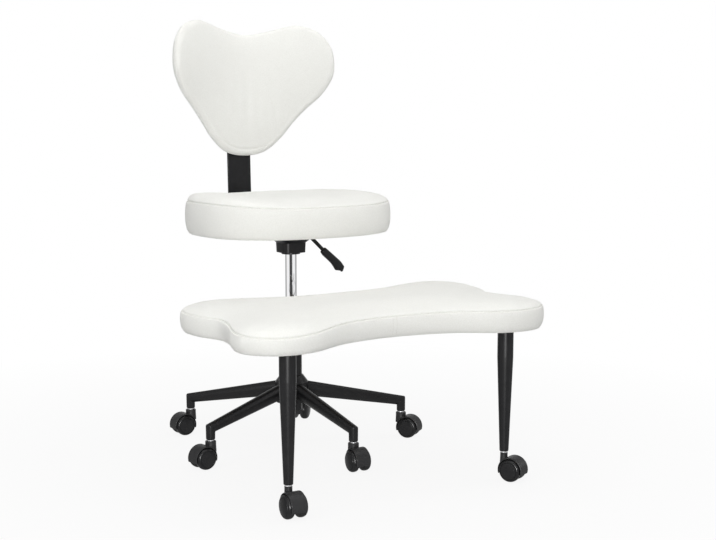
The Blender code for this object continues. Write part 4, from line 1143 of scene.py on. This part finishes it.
# %% Footstool ring and arm
RING_Z, RING_H, RING_BORE_R, RING_R = 0.28979, 0.040, 0.0255, 0.0335
ring_top = RING_Z + RING_H
ring = lathe(((RING_BORE_R, RING_Z), (RING_R, RING_Z), (RING_R, ring_top), (RING_BORE_R, ring_top)), 96, True)
piece("footstool_ring", moved(eased(ring, 0.0010), COLUMN), powder_coat, "footstool", "footstool_collar")
ARM_W, ARM_T, ARM_DROP, ARM_BEND_R = 0.050, 0.008, 0.030, 0.020
arm_low, arm_high = FOOTSTOOL_Z - ARM_DROP - ARM_T / 2.0, FOOTSTOOL_Z - FIT - ARM_T / 2.0
arm_path = bent(((-0.0125, arm_low), (-0.090, arm_low), (-0.185, arm_high), (-0.405, arm_high)), ARM_BEND_R)
mouth_r = RING_R + FIT
mouth = lathe(((0.0, 0.25), (mouth_r, 0.25), (mouth_r, 0.40), (0.0, 0.40)), 96)
arm = eased(carved(flat_bar(arm_path, ARM_W, ARM_T), cuts=[mouth]), 0.0009)
piece("footstool_bar", moved(arm, COLUMN), powder_coat, "footstool", "footstool_arm", sharp=30.0)
print("footstool arm:", len(arm.polygons), "faces")

# %% Footstool legs
LEG_TOP = STUB_Z + 0.2735
LEG_FOOT_R, LEG_R, LEG_STRAIGHT = 0.0100, 0.0175, 0.060
leg_profile = ((0.0, STUB_Z), (LEG_FOOT_R - 0.0008, STUB_Z), (LEG_FOOT_R, STUB_Z + 0.0010),
               (LEG_R, LEG_TOP - LEG_STRAIGHT - 0.004), (LEG_R + 0.00005, LEG_TOP - LEG_STRAIGHT),
               (LEG_R, LEG_TOP), (0.0, LEG_TOP))
FOOTSTOOL_STEMS = {"left": (-0.266, COLUMN_Y - 0.512), "right": (0.266, COLUMN_Y - 0.512)}
for side, (x, y) in FOOTSTOOL_STEMS.items():
    post = moved(lathe(leg_profile, 72), Matrix.Translation((x, y, 0.0)))
    piece("footstool_post_" + side, post, powder_coat, "footstool", "footstool_leg_" + side)
    print("footstool leg", side, "at", (x, round(y, 3)))

# %% [markdown]
# ## Casters
# Each caster is a hood over two wheels. The hood is a drum joined to a neck, hollowed by two round pockets
# and cut flat below. The wheels are turned: a rounded tread, a step round the disc and a shallow hub. One
# caster is modelled at the origin, trailing along +X, and copies go to the seven stems at the headings that
# the picture shows.

# %% Caster parts
WHEEL_R, WEB, TRAIL = 0.025, 0.012, 0.022
HOOD_R, POCKET_R, HOOD_HALF, MOUTH_Z = 0.02899, 0.02669, 0.0175, 0.017
NECK_Z, NECK_TOP = 0.036, 0.06099
STEM_R, STEM_HOLE_R, STEM_IN_HOOD, STEM_IN_LEG = 0.0055, 0.0058, 0.014, 0.022
COLLAR_R, COLLAR_H = 0.0078, 0.0024
FAR_OUT = 0.04
LIE_DOWN = Matrix.Rotation(-math.pi / 2.0, 4, "X")
AT_AXLE = Matrix.Translation((TRAIL, 0.0, WHEEL_R))


def on_axle(profile, sides=72):
    """A turned shape with its axis along the axle."""
    return moved(moved(lathe(profile, sides), LIE_DOWN), AT_AXLE)


def hood(neck_r):
    """The hood and its neck."""
    edge = ((HOOD_R - 0.0012, HOOD_HALF), (HOOD_R - 0.0004, HOOD_HALF - 0.0004), (HOOD_R, HOOD_HALF - 0.0012))
    near = [(radius, -out) for radius, out in edge]
    shell = on_axle(((0.0, -HOOD_HALF), *near, *reversed(edge), (0.0, HOOD_HALF)), 80)
    neck_shape = lathe(((0.0, NECK_Z), (neck_r + 0.0008, NECK_Z), (neck_r, NECK_TOP - 0.008),
                        (neck_r, NECK_TOP - 0.0010), (neck_r - 0.0010, NECK_TOP), (0.0, NECK_TOP)), 48)
    pockets = [on_axle(((0.0, a), (POCKET_R, a), (POCKET_R, b), (0.0, b)), 90)
               for a, b in ((WEB / 2.0, FAR_OUT), (-FAR_OUT, -WEB / 2.0))]
    corners = ((-0.04, -0.05), (0.08, -0.05), (0.08, 0.05), (-0.04, 0.05))
    below = skin([[(0.02, 0.0, -0.03)], [(x, y, -0.03) for x, y in corners],
                  [(x, y, MOUTH_Z) for x, y in corners], [(0.02, 0.0, MOUTH_Z)]])
    hole_z = NECK_TOP - STEM_IN_HOOD - FIT
    stem_hole = lathe(((0.0, hole_z), (STEM_HOLE_R, hole_z), (STEM_HOLE_R, NECK_TOP + 0.01),
                       (0.0, NECK_TOP + 0.01)), 32)
    return carved(shell, cuts=[*pockets, below, stem_hole], joins=[neck_shape])


wheel_profile = ((0.0, 0.0), (0.0195, 0.0), (0.0222, 0.0006), (0.0238, 0.0020), (0.0246, 0.0042), (0.0250, 0.0068),
                 (0.0249, 0.0098), (0.0244, 0.0122), (0.0234, 0.0142), (0.0220, 0.0155), (0.0206, 0.0162),
                 (0.0198, 0.0163), (0.0193, 0.0156), (0.0187, 0.0156), (0.0182, 0.0164), (0.0160, 0.0170),
                 (0.0120, 0.0176), (0.0075, 0.0180), (0.0035, 0.0182), (0.0, 0.0182))
stem_z, collar_z, stem_top = NECK_TOP - STEM_IN_HOOD, NECK_TOP + FIT, STUB_Z + STEM_IN_LEG
stem_profile = ((0.0, stem_z), (STEM_R, stem_z), (STEM_R, collar_z), (COLLAR_R, collar_z),
                (COLLAR_R, collar_z + COLLAR_H), (STEM_R, collar_z + COLLAR_H),
                (STEM_R, stem_top), (0.0, stem_top))

# %% Casters in place
CASTERS = {}
for k, degrees in enumerate((-136.7, -51.7, -91.7, -169.7, -176.7)):
    angle = math.pi / 5.0 + 2.0 * math.pi * k / 5.0 - SEAT_TURN
    x, y = STAR_R * math.sin(angle), COLUMN_Y + STAR_R * math.cos(angle)
    CASTERS[f"base_caster_{k + 1}"] = (x, y, degrees, "base")
for side, degrees in (("left", -89.7), ("right", -61.7)):
    CASTERS["footstool_caster_" + side] = (*FOOTSTOOL_STEMS[side], degrees, "footstool")
hoods = {"base": hood(neck_r=0.0125), "footstool": hood(neck_r=0.0082)}
WHEEL_IN = Matrix.Translation((0.0, 0.0, WEB / 2.0 + 0.0005))
for name, (x, y, degrees, carrier) in CASTERS.items():
    spot = Matrix.Translation((x, y, 0.0)) @ Matrix.Rotation(math.radians(degrees), 4, "Z")
    piece(name + "_cap", moved(hoods[carrier].copy(), spot), hood_black, name, name + "_hood", sharp=32.0)
    piece(name + "_pin", moved(lathe(stem_profile, 40), spot), bright_steel, carrier, name + "_stem")
    for side, half_turn in (("left", 0.0), ("right", math.pi)):
        wheel = moved(lathe(wheel_profile, 72), WHEEL_IN)
        wheel = moved(wheel, Matrix.Rotation(half_turn, 4, "Z") @ LIE_DOWN)
        body = f"{name}_wheel_{side}"
        piece(f"{name}_{side}_disc", moved(wheel, spot @ AT_AXLE), moulded_black, body, body, sharp=32.0)
    refinish(name + "_axle", bright_steel)
print("casters:", len(CASTERS))

# %% [markdown]
# ## Screws
# Button-head screws hold the plate to the seat board, the bar to the seat and the back, and the arm to the
# footstool. One screw is modelled, and a Geometry Nodes tree sets a copy on each marked point, turned to
# the direction that the point carries.

# %% One screw
def hexagon(across, z, sides=24):
    """A hexagon with as many points as the round rings around it."""
    angles = np.arange(sides) * 2.0 * math.pi / sides
    radii = across / 2.0 / np.cos((angles + math.pi / 6.0) % (math.pi / 3.0) - math.pi / 6.0)
    return [(r * math.cos(a), r * math.sin(a), z) for r, a in zip(radii, angles)]


HEAD = ((0.0056, -0.0004), (0.0056, 0.0010), (0.0050, 0.0023), (0.0038, 0.0031))
button = skin([[(0.0, 0.0, HEAD[0][1])], *[circle(radius, z, 24) for radius, z in HEAD],
               hexagon(0.0045, 0.0033), hexagon(0.0042, 0.0014), [(0.0, 0.0, 0.0012)]])
print("screw:", len(button.polygons), "faces")

# %% Screws on points
screw_tree = new_tree("screws_on_points")
SCREW = group_socket(screw_tree, "Screw", "Object")
SCREW_FINISH = group_socket(screw_tree, "Finish", "Material")
given = add(screw_tree, "NodeGroupInput")
shape = add(screw_tree, "GeometryNodeObjectInfo", Object=given.outputs["Screw"])
axis = add(screw_tree, "GeometryNodeInputNamedAttribute", data_type="FLOAT_VECTOR", Name="axis")
upright = add(screw_tree, "FunctionNodeAlignRotationToVector", Vector=axis.outputs["Attribute"])
upright.axis = "Z"
copies = add(screw_tree, "GeometryNodeInstanceOnPoints", Points=given.outputs["Geometry"],
             Instance=shape.outputs["Geometry"], Rotation=upright.outputs[0])
handed_out(screw_tree, copies, given.outputs["Finish"])


def screws(name, body, places):
    """One mesh of screws for a body, from (place, direction) pairs."""
    marks = bpy.data.meshes.new("marks")
    marks.from_pydata([tuple(place) for place, _ in places], [], [])
    marks.attributes.new("axis", "FLOAT_VECTOR", "POINT").data.foreach_set(
        "vector", np.array([tuple(direction) for _, direction in places], np.float32).ravel())
    sample = bpy.data.objects.new("button", button)
    scene.collection.objects.link(sample)
    mesh = grown(marks, screw_tree, {SCREW: sample, SCREW_FINISH: bright_steel})
    bpy.data.objects.remove(sample)
    piece(name, mesh, bright_steel, body, sharp=30.0)
    print(name, len(places))


# %% Screws in place
down = Vector((0.0, 0.0, -1.0))
seat_marks = [(SEAT_FRAME @ Vector((x, y, plate_z)), down) for x in (-0.052, 0.052) for y in (-0.060, 0.060)]
bar_under = BAR_FOOT_Z - BAR_T / 2.0
seat_marks += [(SEAT_FRAME @ Vector((x, y, bar_under)), down) for x in (-0.018, 0.018) for y in (0.115, 0.180)]
behind = LEAN_FRAME.to_3x3() @ Vector((0.0, 1.0, 0.0))
seat_marks += [(LEAN_FRAME @ Vector((x, BAR_T, z)), behind) for x in (-0.016, 0.016) for z in (0.255, 0.315)]
screws("seat_screws", "seat", seat_marks)
arm_under = arm_high - ARM_T / 2.0
arm_marks = [(COLUMN @ Vector((x, y, arm_under)), down) for x in (-0.013, 0.013) for y in (-0.235, -0.370)]
screws("footstool_screws", "footstool", arm_marks)
